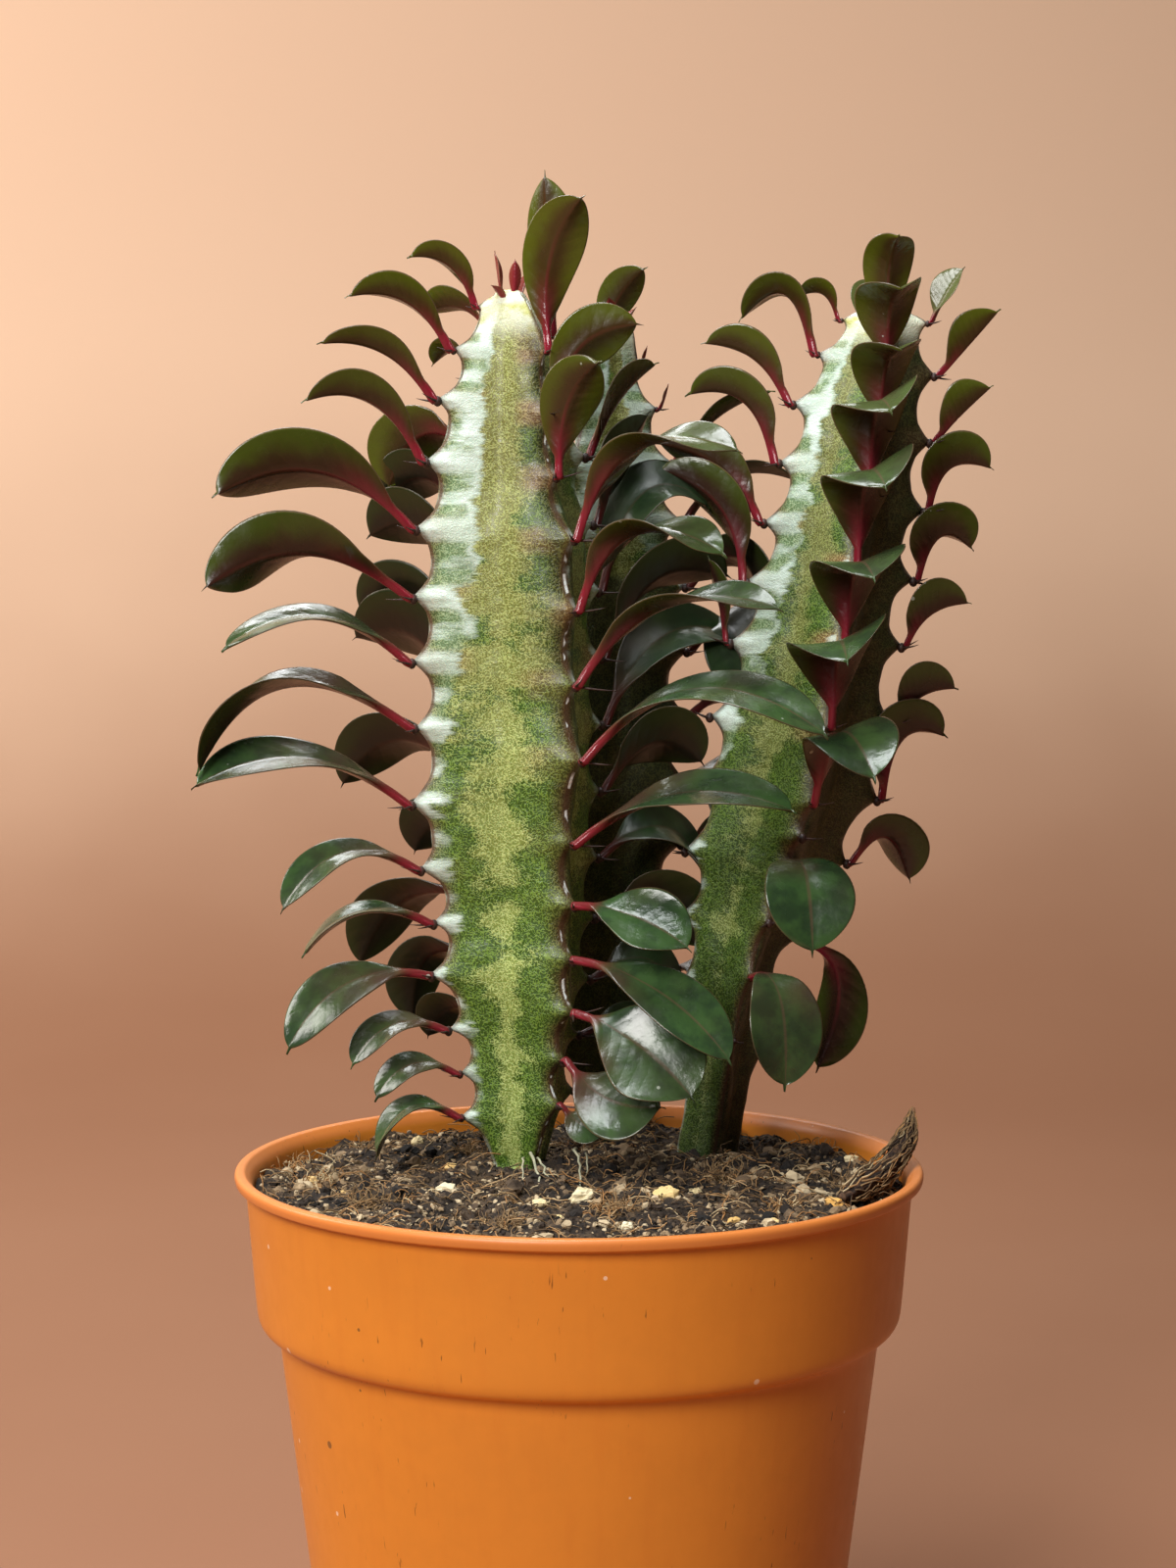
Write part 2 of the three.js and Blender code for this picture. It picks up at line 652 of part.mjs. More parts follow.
function rootClump() {
  const spine = new THREE.CatmullRomCurve3(ROOT_CLUMP.map(([x, y, z]) => new THREE.Vector3(x, y, z)));
  const rings = [];
  const steps = ROOT_CLUMP.length * 2;
  for (let step = 0; step <= steps; step += 1) {
    const along = step / steps;
    const centre = spine.getPoint(along);
    const forward = spine.getTangent(along);
    const side = new THREE.Vector3(-forward.y, forward.x, 0).normalize();
    const up = new THREE.Vector3().crossVectors(forward, side).normalize();
    const places = ROOT_CLUMP.map(([, , , half], i) => [i / (ROOT_CLUMP.length - 1), half]);
    const half = smooth(places, along)[0];
    const ring = [];
    for (let corner = 0; corner < CLUMP_SIDES; corner += 1) {
      const angle = (corner * 2 * Math.PI) / CLUMP_SIDES;
      const ragged = half * (1 + CLUMP_RAGGEDNESS * Math.sin(3 * angle + 2 * step));
      ring.push(centre.clone()
        .addScaledVector(side, ragged * Math.cos(angle))
        .addScaledVector(up, CLUMP_FLATNESS * ragged * Math.sin(angle)));
    }
    rings.push(ring);
  }
  const rim = POT_HEIGHT + SEAT_GAP;
  const wallFace = COLLAR_TOP_RADIUS - WALL;
  const lipGuard = lathe([
    [wallFace - CLUMP_CLEARANCE, SOIL_EDGE],
    [LIP_RADIUS + CLUMP_CLEARANCE, SOIL_EDGE],
    [LIP_RADIUS + CLUMP_CLEARANCE, rim],
    [LIP_RADIUS - LIP_WIDTH - SEAT_GAP, rim],
    [wallFace - SEAT_GAP, rim - LIP_FALL],
    [wallFace - CLUMP_CLEARANCE, SOIL_EDGE],
  ], POT_SIDES);
  return geometryOf(solid(skin(rings)).subtract(solid(lipGuard)).subtract(soilBody(SEAT_GAP)));
}

// ---------------------------------------------------------------- the whole plant

const plant = new THREE.Group();

function add(name, geometry, finish) {
  const mesh = new THREE.Mesh(geometry, material(finish));
  mesh.name = name;
  plant.add(mesh);
}

add('pot', pot(), ORANGE);
add('soil', soil(), PEAT);
for (const [name, stem] of Object.entries(STEMS)) {
  add(name, stemGeometry(stem, 0), STEM_GREEN);
}
for (const { stem, rib, rows } of LEAVES) {
  for (const row of rows) {
    const name = `${stem}_${rib}_leaf_${row[0]}`;
    const finish = row[0] < 4 ? YOUNG_LEAF : LEAF_GREEN;
    add(name, leafGeometry(STEMS[stem], STEMS[stem].ribs[rib], row), finish);
  }
}
add('root_clump', rootClump(), DRY_ROOT);

export default plant;
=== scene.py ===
import math
import random

import bmesh
import bpy
from bpy.props import FloatProperty, FloatVectorProperty, IntProperty, PointerProperty
from mathutils import Matrix, Vector, noise


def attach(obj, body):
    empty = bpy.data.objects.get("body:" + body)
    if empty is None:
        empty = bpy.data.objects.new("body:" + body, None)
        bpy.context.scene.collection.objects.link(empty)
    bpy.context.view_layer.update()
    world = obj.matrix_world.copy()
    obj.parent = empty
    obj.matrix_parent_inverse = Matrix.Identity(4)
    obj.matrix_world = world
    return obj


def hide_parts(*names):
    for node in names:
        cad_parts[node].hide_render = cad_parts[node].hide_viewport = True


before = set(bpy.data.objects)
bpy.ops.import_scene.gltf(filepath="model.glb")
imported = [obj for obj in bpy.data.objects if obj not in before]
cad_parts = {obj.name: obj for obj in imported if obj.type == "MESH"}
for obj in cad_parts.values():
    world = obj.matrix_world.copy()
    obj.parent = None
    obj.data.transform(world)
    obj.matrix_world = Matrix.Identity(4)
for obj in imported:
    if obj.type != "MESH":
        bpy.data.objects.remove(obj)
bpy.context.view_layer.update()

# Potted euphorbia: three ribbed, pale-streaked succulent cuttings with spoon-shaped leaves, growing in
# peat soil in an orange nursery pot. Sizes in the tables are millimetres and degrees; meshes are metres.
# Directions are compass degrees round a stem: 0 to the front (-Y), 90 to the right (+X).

bl_info = {
    "name": "Potted Euphorbia",
    "version": (1, 0, 0),
    "blender": (4, 5, 0),
    "location": "View3D > Sidebar > Euphorbia",
    "description": "Builds the looks of a potted euphorbia over its packed frame",
    "category": "Object",
}

MM = 0.001
UP = Vector((0, 0, 1))

# ---------------------------------------------------------------- sizes of the plant

# path: height, x and y of the stem's middle. Each rib: its direction, then its leaf seats from the top,
# as height and distance from the middle.
STEMS = {
    "left_stem": {
        "ground": 103,
        "apex": 256.5,
        "path": [(103, -10.6, 10), (256.5, -12, 10)],
        "ribs": {
            "outer": (-69, [
                (254.4, 6.3), (246.9, 11), (238.1, 14.1), (227.3, 16.3), (215.6, 18.3), (203.7, 19),
                (192.5, 19.4), (181, 19), (167.6, 19.7), (156.1, 18.2), (146.6, 16), (137.4, 16.5),
                (127.6, 13.5), (119.7, 11.4), (111.9, 11.2),
            ]),
            "inner": (38, [
                (246.3, 10.5), (235.5, 13), (224.5, 13), (213.7, 18), (201.5, 18.5), (188.6, 18),
                (175.7, 19.5), (161.2, 17), (150.5, 17), (141, 16.5), (131.7, 16.5), (123, 13.5), (115, 12),
            ]),
            "far": (122, [
                (250, 8), (240, 13), (229, 15.5), (217, 17), (205, 18), (193, 18.5), (181, 18.5),
                (169, 18), (157, 17.5), (146, 16.5), (135, 15.5), (125, 13), (115, 11.5),
            ]),
            "rear": (215, [
                (252, 7.5), (243, 12), (232, 15), (221, 17), (209, 18), (197, 18.5), (185, 18.5),
                (173, 18), (161, 17.5), (150, 16.5), (139, 15.5), (129, 13.5), (119, 11.5),
            ]),
        },
    },
    "right_stem": {
        "ground": 103,
        "apex": 256,
        "path": [(103, 23.5, 23), (138, 29.5, 23), (170, 39, 24), (205, 45.5, 24), (256, 54.5, 25)],
        "ribs": {
            "inner": (-90, [
                (254, 6.9), (247.9, 10.2), (238.9, 13.1), (228.3, 13.8), (217.5, 14.6), (206.7, 15.7),
                (195.7, 16.8), (182.3, 18.2), (170, 17.8), (157.7, 16.5), (146, 13.5), (134, 10), (122, 7.5),
            ]),
            "front": (10, [
                (250.5, 7.5), (244.5, 10.5), (233.5, 13), (221.5, 14.5), (209, 15.5), (195, 16.5),
                (181, 17.5), (167.5, 17.5), (161.5, 16.5), (155.5, 15), (146, 12.5), (136, 11), (124, 7.5),
            ]),
            "outer": (92, [
                (253.5, 9.2), (244, 12.2), (232, 13.6), (219.5, 14.8), (207, 15.2), (195, 15.2),
                (181, 16), (167, 16.5), (155.5, 14.5), (141.5, 9.5), (131, 8.2), (121, 7.2),
            ]),
            "far": (180, [
                (251, 9.5), (240, 13), (229, 14.5), (217, 15.5), (204, 16.5), (191, 17.5),
                (178, 17.5), (166, 17), (154, 15), (143, 12.5), (131, 9.5),
            ]),
        },
    },
    "back_stem": {
        "ground": 102.5,
        "apex": 254,
        "path": [(102.5, 4, 38), (254, 6.5, 38)],
        "ribs": {
            "inner": (-50, [
                (249, 5.5), (239, 9.5), (228, 12.5), (216, 14.5), (204, 15), (192, 15.5),
                (180, 15.5), (168, 15.5), (156, 15), (144, 14), (132, 12.5), (120, 10.5),
            ]),
            "outer": (80, [
                (246.3, 4.4), (238.9, 8.3), (229, 11.5), (218, 13.5), (206, 14.5), (194, 15),
                (182, 15), (170, 15), (158, 14.5), (146, 13.5), (134, 12), (122, 10),
            ]),
            "far": (195, [
                (250, 5.5), (240, 9.5), (229, 12.5), (217, 15), (205, 15.5), (193, 15.5),
                (181, 15.5), (169, 15.5), (157, 15), (145, 14), (133, 12.5), (121, 10.5),
            ]),
        },
    },
}

# One row per leaf: its seat, counted from the top of the rib, and its direction; then, from the seat,
# how far out and up the arch and the tip lie, and the blade's width; then the blade's roll near the
# stalk and near the tip, and how far its halves fold up.
LEAVES = [
    ("left_stem", "outer", [
        (1, -69, 6, 8, 11.4, 8.3, 6.5, -30, -30, 30),
        (2, -69, 11, 9.3, 17.7, 8.7, 7.5, -35, -35, 30),
        (3, -69, 12, 9.2, 19.6, 9.3, 7.5, -20, -20, 30),
        (4, -69, 13, 11.5, 20.5, 10.3, 9, -30, -30, 30),
        (5, -69, 19.5, 10.2, 34.3, 5.7, 14, -40, -65, 25),
        (6, -69, 23, 7.5, 35.7, 1.9, 14.5, -5, -85, 25),
        (7, -69, 17, 8, 32, 2.8, 12, 20, 10, 10),
        (8, -69, 25.3, 6.8, 37.6, -6.4, 15, 22, -30, 15),
        (9, -69, 22, 8.6, 37.3, 4.3, 13, 22, 22, 8),
        (10, -69, 12, 3.6, 23.9, -5.7, 9, 25, 25, 8),
        (11, -69, 11.4, 2.8, 22.4, -4, 9, 15, -10, 10),
        (12, -69, 13, -0.2, 25, -11.3, 12, 30, 30, 8),
        (13, -69, 8.5, 1.6, 16.6, -5, 8, 25, 25, 8),
        (14, -69, 7.6, 2.2, 14.5, -3.2, 7.5, 25, 25, 8),
        (15, -69, 7.8, 2.5, 14.8, -5.6, 8.5, 20, -10, 12),
    ]),
    ("left_stem", "inner", [
        (1, 40, 4.5, 22, 8.5, 25, 10.8, 42, 42, 14),
        (2, 86, 4.5, 12, 13.4, 15, 10.5, 70, 70, 14),
        (3, 40, 6.5, 17, 10, 18.8, 10.5, 40, 40, 8),
        (4, 66, 9.5, 14.5, 29, 14.5, 11, 35, -40, 15),
        (5, 66, 8.5, 12.5, 26, 9.5, 12, 30, -35, 15),
        (6, 66, 13, 12.5, 36, 13.3, 11, 20, -30, 12),
        (7, 66, 19, 12.3, 43, 5.5, 14.5, -15, -25, 10),
        (8, 66, 19, 9.2, 39, 7, 15, -20, -20, 10),
        (9, 62, 10, -1, 21, -6, 13, -40, -40, 8),
        (10, 62, 15, -4, 29, -15, 12, -35, -35, 8),
        (11, 62, 11, -4, 22, -12.7, 18, -55, -50, 6),
        (12, 62, 8, -6, 18, -6.5, 15, -50, -45, 6),
        (13, 62, 4, -3, 9, -3, 8, -45, -45, 6),
    ]),
    ("left_stem", "rear", [
        (4, 236, 9, 5, 17, 1, 12, -45, -45, 12),
        (6, 238, 12, 8, 22, 5, 13, -50, -50, 12),
        (8, 240, 14, 5, 26, -3.6, 13, -45, -45, 12),
        (10, 240, 12, -1, 23.5, -14, 12.5, -40, -40, 12),
    ]),
    ("right_stem", "inner", [
        (1, -100, 4, 5.3, 7, 4.5, 6.5, -20, -20, 20),
        (2, -100, 7, 11.5, 13, 7, 8.5, -25, -25, 20),
        (3, -100, 11, 10.8, 15, 11.3, 9, -35, -35, 30),
        (4, -100, 9.5, 13.2, 15.3, 12.8, 9.5, -35, -35, 30),
        (5, -100, 7, 10, 18, 14.5, 10, -60, -60, 20),
        (6, -100, 5, 15, 15, 20.5, 10, -60, -60, 20),
    ]),
    ("right_stem", "front", [
        (1, 8, 3, 14.5, 7, 16.5, 10, 5, 5, 25),
        (2, 8, 4, 11.8, 9.5, 12.8, 13, -5, -5, 25),
        (3, 10, 5, 11.8, 12.5, 12.8, 13, -5, -5, 20),
        (4, 8, 6, 16, 15, 14, 16, -20, -20, 12),
        (5, 10, 7, 16.5, 17, 13.5, 17, -20, -20, 12),
        (6, 10, 8, 14.5, 18, 12, 17, -12, -12, 12),
        (7, 2, 9, 15, 20, 12, 18, -18, -18, 10),
        (8, 22, 10, 13, 22, 6, 16, -15, -15, 10),
        (10, 8, 9, 2, 18, -12, 16, 0, 0, 8),
        (12, 20, 8, 0.5, 14, -17, 14, 0, 0, 8),
    ]),
    ("right_stem", "outer", [
        (2, 85, 5, 5.5, 10.3, 11.4, 9, 30, 30, 38),
        (3, 85, 5, 5.5, 9.8, 9.8, 9.5, 35, 35, 36),
        (4, 88, 6, 9, 11, 8, 11, 40, 40, 36),
        (5, 88, 6, 8.5, 9.5, 6, 11.5, 40, 40, 36),
        (6, 88, 6, 7, 11, 8, 11.5, 38, 38, 34),
        (10, 95, 2.5, -1, 3.5, -23.5, 11, 60, 60, 20),
    ]),
]

# Leaves behind the stems and in their shade, which have no solid of their own in the frame.
SHADED_LEAVES = [
    ("left_stem", "rear", [
        (1, 250, 6, 4, 12, 3, 8, -30, -30, 15),
        (2, 240, 5, 5.6, 8.5, 3.2, 7, -10, -10, 15),
        (3, 238, 9, 2, 17, -7.4, 14, -50, -50, 12),
        (5, 238, 11, 9, 19.6, 6.7, 14, -50, -50, 12),
        (7, 240, 12, 13, 22.3, 11.7, 16, -50, -50, 12),
        (9, 225, 8, 1, 13, -4, 12, -45, -45, 15),
        (11, 238, 8, 0, 13, -12.8, 11, -40, -40, 12),
        (12, 230, 8, -1, 12, -6, 9, -40, -40, 15),
    ]),
    ("left_stem", "far", [
        (1, -30, 1.5, 15, 2.5, 27.5, 10.5, 0, 0, 15),
        (2, 110, 4, 9.5, 9.5, 13.5, 9, 30, 30, 12),
        (3, 118, 8, 13, 13, 17, 12, 35, 35, 12),
        (4, 105, 6, 15, 9, 19.6, 11, 45, 45, 12),
        (5, 108, 14, 19, 20, 15.7, 13, -35, -35, 10),
        (6, 112, 15.6, 16.5, 24, 15, 13, 45, 45, 12),
        (7, 112, 17.5, 17.5, 27, 15, 13, -35, -35, 12),
        (8, 114, 13, 9, 19.5, 5, 14, 50, 50, 12),
        (9, 112, 12, 5, 20, -3, 12, -35, -35, 12),
        (10, 114, 11, 3, 20, -6, 14, 50, 50, 12),
        (11, 112, 10, 3, 17, -5, 12, -35, -35, 12),
        (12, 112, 9, 1, 15, -6, 12, -45, -45, 8),
    ]),
    ("right_stem", "inner", [
        (7, -100, 1.5, 10, 3, 15, 7, -30, -30, 15),
    ]),
    ("right_stem", "outer", [
        (1, 80, 2.5, 5, 5.5, 9.5, 7, -50, -50, 30),
        (7, 88, 6.3, 6, 10.5, 6.5, 12, 38, 38, 34),
        (8, 88, 8, 13, 11, 12, 13, 38, 38, 30),
        (9, 100, 6, 5, 11, -3, 11, 40, 40, 20),
    ]),
    ("right_stem", "far", [
        (1, 176, 3, 8, 6, 12, 8, 0, 0, 25),
        (2, 150, 8, 5, 14, 5, 10, 20, 20, 22),
        (3, 175, 8, 11, 16, 12, 12, 0, 0, 20),
        (4, 185, 10, 11, 19, 9, 13, 8, 8, 18),
        (5, 177, 11, 10, 21, 7, 14, -8, -8, 15),
        (6, 184, 11, 9, 21, 5, 14, 6, 6, 15),
        (7, 176, 11, 8, 21, 2, 13, -6, -6, 15),
        (8, 185, 10, 6, 19, -1, 12, 0, 0, 15),
        (9, 178, 9, 4, 17, -4, 11, 0, 0, 15),
        (10, 182, 7, 2, 13, -5, 9, 0, 0, 15),
    ]),
    ("back_stem", "inner", [
        (6, -50, 7, 9, 15, 3, 13, -50, -50, 12),
        (7, -40, 9, 8, 17, 1, 14, -30, -30, 10),
        (8, -46, 10, 5, 17, -4, 14, -50, -50, 12),
        (9, -38, 10, 4, 17, -6, 14, -30, -30, 10),
        (10, -44, 9, 2, 16, -8, 14, -50, -50, 12),
    ]),
    ("back_stem", "outer", [
        (1, 80, 0.8, 2.2, 1.2, 3.8, 1.6, 0, 0, 20),
        (2, 80, 0.9, 2.4, 1.4, 4.2, 1.6, 0, 0, 20),
        (3, 85, 8, 9, 17, 13, 9, 0, 0, 15),
        (4, 85, 10, 9, 20, 8, 10, 0, 0, 15),
        (5, 60, 9, 6, 16, -6, 12, 45, 45, 12),
        (6, 40, 9, 5, 15, -9, 14, -35, -35, 10),
        (7, 55, 9, 4, 16, -10, 12, 45, 45, 12),
        (8, 45, 8, 3, 14, -11, 13, -35, -35, 10),
        (9, 60, 9, 3, 16, -8, 12, 45, 45, 12),
        (10, 50, 8, 2, 14, -10, 13, -35, -35, 10),
        (11, 60, 8, 1, 14, -8, 12, -35, -35, 10),
    ]),
    ("back_stem", "far", [
        (1, 60, 2, 9, 8, 15, 8, 50, 50, 20),
        (2, 190, 4, 8, 8, 12, 9, 0, 0, 22),
        (3, 200, 5, 10, 10, 13, 11, 10, 10, 20),
        (4, 188, 5, 10, 10, 14, 12, -10, -10, 18),
        (5, 200, 5, 10, 10, 13, 12, 8, 8, 18),
        (6, 190, 5, 10, 10, 12, 12, -8, -8, 18),
        (7, 202, 5, 9, 10, 11, 12, 0, 0, 18),
        (8, 190, 5, 8, 9, 9, 11, 0, 0, 18),
        (9, 198, 5, 6, 9, 6, 10, 0, 0, 18),
        (10, 192, 4, 4, 8, 3, 9, 0, 0, 18),
    ]),
]

# The small new leaves at each stem's tip, as leaf rows whose first number is the height below the tip.
TIP_LEAVES = {
    "left_stem": [
        (1.0, -100, 0.8, 4.5, 1.4, 8.5, 2.6, 0, 0, 25),
        (1.2, 20, 0.8, 3.6, 1.0, 7.0, 2.4, 20, 20, 25),
        (1.6, 130, 1.4, 3.2, 2.6, 6.0, 2.6, 0, 0, 25),
        (2.0, -40, 1.6, 2.2, 3.4, 3.4, 2.2, 0, 0, 25),
    ],
    "right_stem": [
        (1.0, -60, 0.8, 3.6, 1.8, 6.5, 2.6, 0, 0, 25),
        (1.4, 120, 1.2, 3.4, 2.4, 6.0, 3.0, 0, 0, 25),
        (1.8, 200, 1.6, 3.0, 3.2, 5.0, 2.8, 0, 0, 25),
    ],
    "back_stem": [
        (1.0, -20, 0.8, 3.4, 1.6, 6.0, 2.6, 0, 0, 25),
        (1.4, 110, 1.4, 3.0, 2.6, 5.0, 2.8, 0, 0, 25),
        (1.8, 240, 1.6, 3.0, 3.2, 5.0, 2.8, 0, 0, 25),
    ],
}

# Dry root and bark: x, y, height and half thickness along the piece.
ROOT_CLUMP = [
    (44, -21, 103.2, 1.2), (47, -17, 104, 2.4), (51, -11, 104.8, 2.9),
    (54.6, -5.5, 106.8, 2.7), (57.2, -1.5, 110, 2.2), (58.4, 0.5, 114.3, 0.5),
]

# The pot's wall from the middle of the base out and up, over the lip, and back inside to the floor:
# radius, height and how far each corner is rounded.
POT_WALL = [
    (0, 0, 0), (42.9, 0, 0.9), (52.45, 76.6, 0.9), (52.9, 77.4, 0.5), (55.9, 78.5, 2.3), (56.35, 82.5, 1.2),
    (58, 102.5, 0.25), (59.7, 103, 0.3), (60, 104.2, 0.6), (59.6, 105, 0.5), (58.2, 104.95, 0.4),
    (56.8, 103.4, 1.2), (55.1, 81.7, 2.0), (51.3, 78.0, 1.0), (41.7, 1.6, 1.4), (0, 1.6, 0),
]

# Pale grit that stands out on the soil: x, y, size, and how yellow it is.
GRIT = [
    (-22.7, -11.9, 3.4, 0.15), (-22.7, 4.8, 2.6, 0.7), (0.7, -24.4, 4.6, 0.25), (14.7, -19.8, 4.4, 0.6),
    (42.5, -22.1, 3.6, 0.9), (-6.5, -21, 2.4, 0.35), (-3.5, -31, 2.2, 0.5), (25.5, -30.5, 2.4, 0.8),
    (-40.5, -12, 2.2, 0.7), (7.9, -38, 2.2, 0.1), (32, -33, 2, 0.6), (-47, 3, 2.4, 0.6), (20, -12, 2.2, 0.4),
    (-30, 26, 2.6, 0.4), (-8, 52, 2.6, 0.2), (30, 47, 2.8, 0.5), (49, 14, 2.4, 0.3), (-48, 22, 2.2, 0.6),
]

# Clumps of dry fibre that stand on the soil: x, y, reach and number of strands.
FIBRE_CLUMPS = [
    (24.8, -1, 5.5, 70), (-45.5, 0, 5, 46), (-52, 14, 4.5, 50), (-34.5, -20, 6, 54), (-20, 22, 4.5, 40),
    (6, -29, 5, 46), (34, -22, 4.5, 40), (47, -4, 5, 46), (-12, -36, 5, 40), (12, 52, 5, 40),
    (-40, 33, 5, 40), (45, 30, 5, 40),
]


# ---------------------------------------------------------------- shapes shared by the pieces

def heading(toward):
    """The level direction of a compass reading."""
    angle = math.radians(toward)
    return Vector((math.sin(angle), -math.cos(angle), 0))


def turns(count):
    """Evenly spaced angles, once round."""
    return [2 * math.pi * step / count for step in range(count)]


def clamp(value, low=0.0, high=1.0):
    return max(low, min(high, value))


def ease(value, low, high):
    """0 below low, 1 above high, and a soft step between."""
    share = clamp((value - low) / (high - low))
    return share * share * (3 - 2 * share)


def mix(start, end, share):
    return start + (end - start) * share


def shares(steps):
    """From 0 to 1 in even steps."""
    return [step / steps for step in range(steps + 1)]


def smooth(rows, place):
    """Values along rows of (place, value, value...) on one smooth curve, whichever way the rows run."""
    table = sorted(rows)
    last = len(table) - 1
    at = clamp(place, table[0][0], table[last][0])
    cell = 0
    while cell < last - 1 and at > table[cell + 1][0]:
        cell += 1
    span = table[cell + 1][0] - table[cell][0]
    t = (at - table[cell][0]) / span

    def slope(row, column):
        before = table[max(row - 1, 0)]
        after = table[min(row + 1, last)]
        return (after[column] - before[column]) / (after[0] - before[0])

    return [
        (2 * t ** 3 - 3 * t * t + 1) * table[cell][column]
        + (t ** 3 - 2 * t * t + t) * span * slope(cell, column)
        + (3 * t * t - 2 * t ** 3) * table[cell + 1][column]
        + (t ** 3 - t * t) * span * slope(cell + 1, column)
        for column in range(1, len(table[0]))
    ]


class Shell:
    """Points and faces of one piece, in millimetres, with three marks for the finish at each point."""

    def __init__(self):
        self.points = []
        self.faces = []
        self.picks = []
        self.marks = []

    def add_rings(self, rings, pick=0, marks=None):
        """A tube through rings of points, closed round and at both ends."""
        first = len(self.points)
        sides = len(rings[0])
        for row, ring in enumerate(rings):
            self.points.extend(ring)
            self.marks.extend(marks[row] if marks else [(0, 0, 0)] * sides)
        for row in range(len(rings) - 1):
            low = first + row * sides
            for side in range(sides):
                following = (side + 1) % sides
                self.faces.append((low + side, low + following, low + sides + following, low + sides + side))
        top = first + (len(rings) - 1) * sides
        self.faces.append(tuple(first + side for side in reversed(range(sides))))
        self.faces.append(tuple(top + side for side in range(sides)))
        self.picks.extend([pick] * ((len(rings) - 1) * sides + 2))

    def add_tube(self, path, radii, sides=6, pick=0, mark=(0, 0, 0)):
        """A round tube along a path of points."""
        rings = []
        side = None
        for place, point in enumerate(path):
            before = path[max(place - 1, 0)]
            after = path[min(place + 1, len(path) - 1)]
            forward = (after - before).normalized()
            if side is None:
                side = forward.orthogonal().normalized()
            side = (side - forward * side.dot(forward)).normalized()
            up = forward.cross(side)
            rings.append([
                point + (side * math.cos(angle) + up * math.sin(angle)) * radii[place]
                for angle in turns(sides)
            ])
        self.add_rings(rings, pick, [[mark] * sides] * len(rings))

    def make(self, name, finishes, marked=None, smooth_faces=True):
        """The piece as an object. Its marks become the attribute that is named; tint is a single value."""
        mesh = bpy.data.meshes.new(name)
        mesh.from_pydata([point * MM for point in self.points], [], self.faces)
        for finish in finishes:
            mesh.materials.append(finish)
        mesh.polygons.foreach_set("material_index", self.picks)
        mesh.polygons.foreach_set("use_smooth", [smooth_faces] * len(self.faces))
        if marked == "tint":
            attribute = mesh.attributes.new(marked, "FLOAT", "POINT")
            attribute.data.foreach_set("value", [mark[0] for mark in self.marks])
        elif marked:
            attribute = mesh.attributes.new(marked, "FLOAT_VECTOR", "POINT")
            attribute.data.foreach_set("vector", [value for mark in self.marks for value in mark])
        mesh.update()
        return show(name, mesh)


def link(thing):
    bpy.context.scene.collection.objects.link(thing)
    return thing


def show(name, mesh):
    """The mesh as an object in the scene."""
    return link(bpy.data.objects.new(name, mesh))


def baked(source, name):
    """The source's mesh with its modifiers applied, as a new plain mesh."""
    depsgraph = bpy.context.evaluated_depsgraph_get()
    evaluated = source.evaluated_get(depsgraph)
    mesh = bpy.data.meshes.new_from_object(evaluated, preserve_all_data_layers=True, depsgraph=depsgraph)
    mesh.name = name
    return mesh


def settle(piece, slot, *nodes):
    """The piece rides in the frame, in place of the frame's nodes where it has some."""
    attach(piece, "root")
    if nodes:
        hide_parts(*nodes)


# ---------------------------------------------------------------- node trees

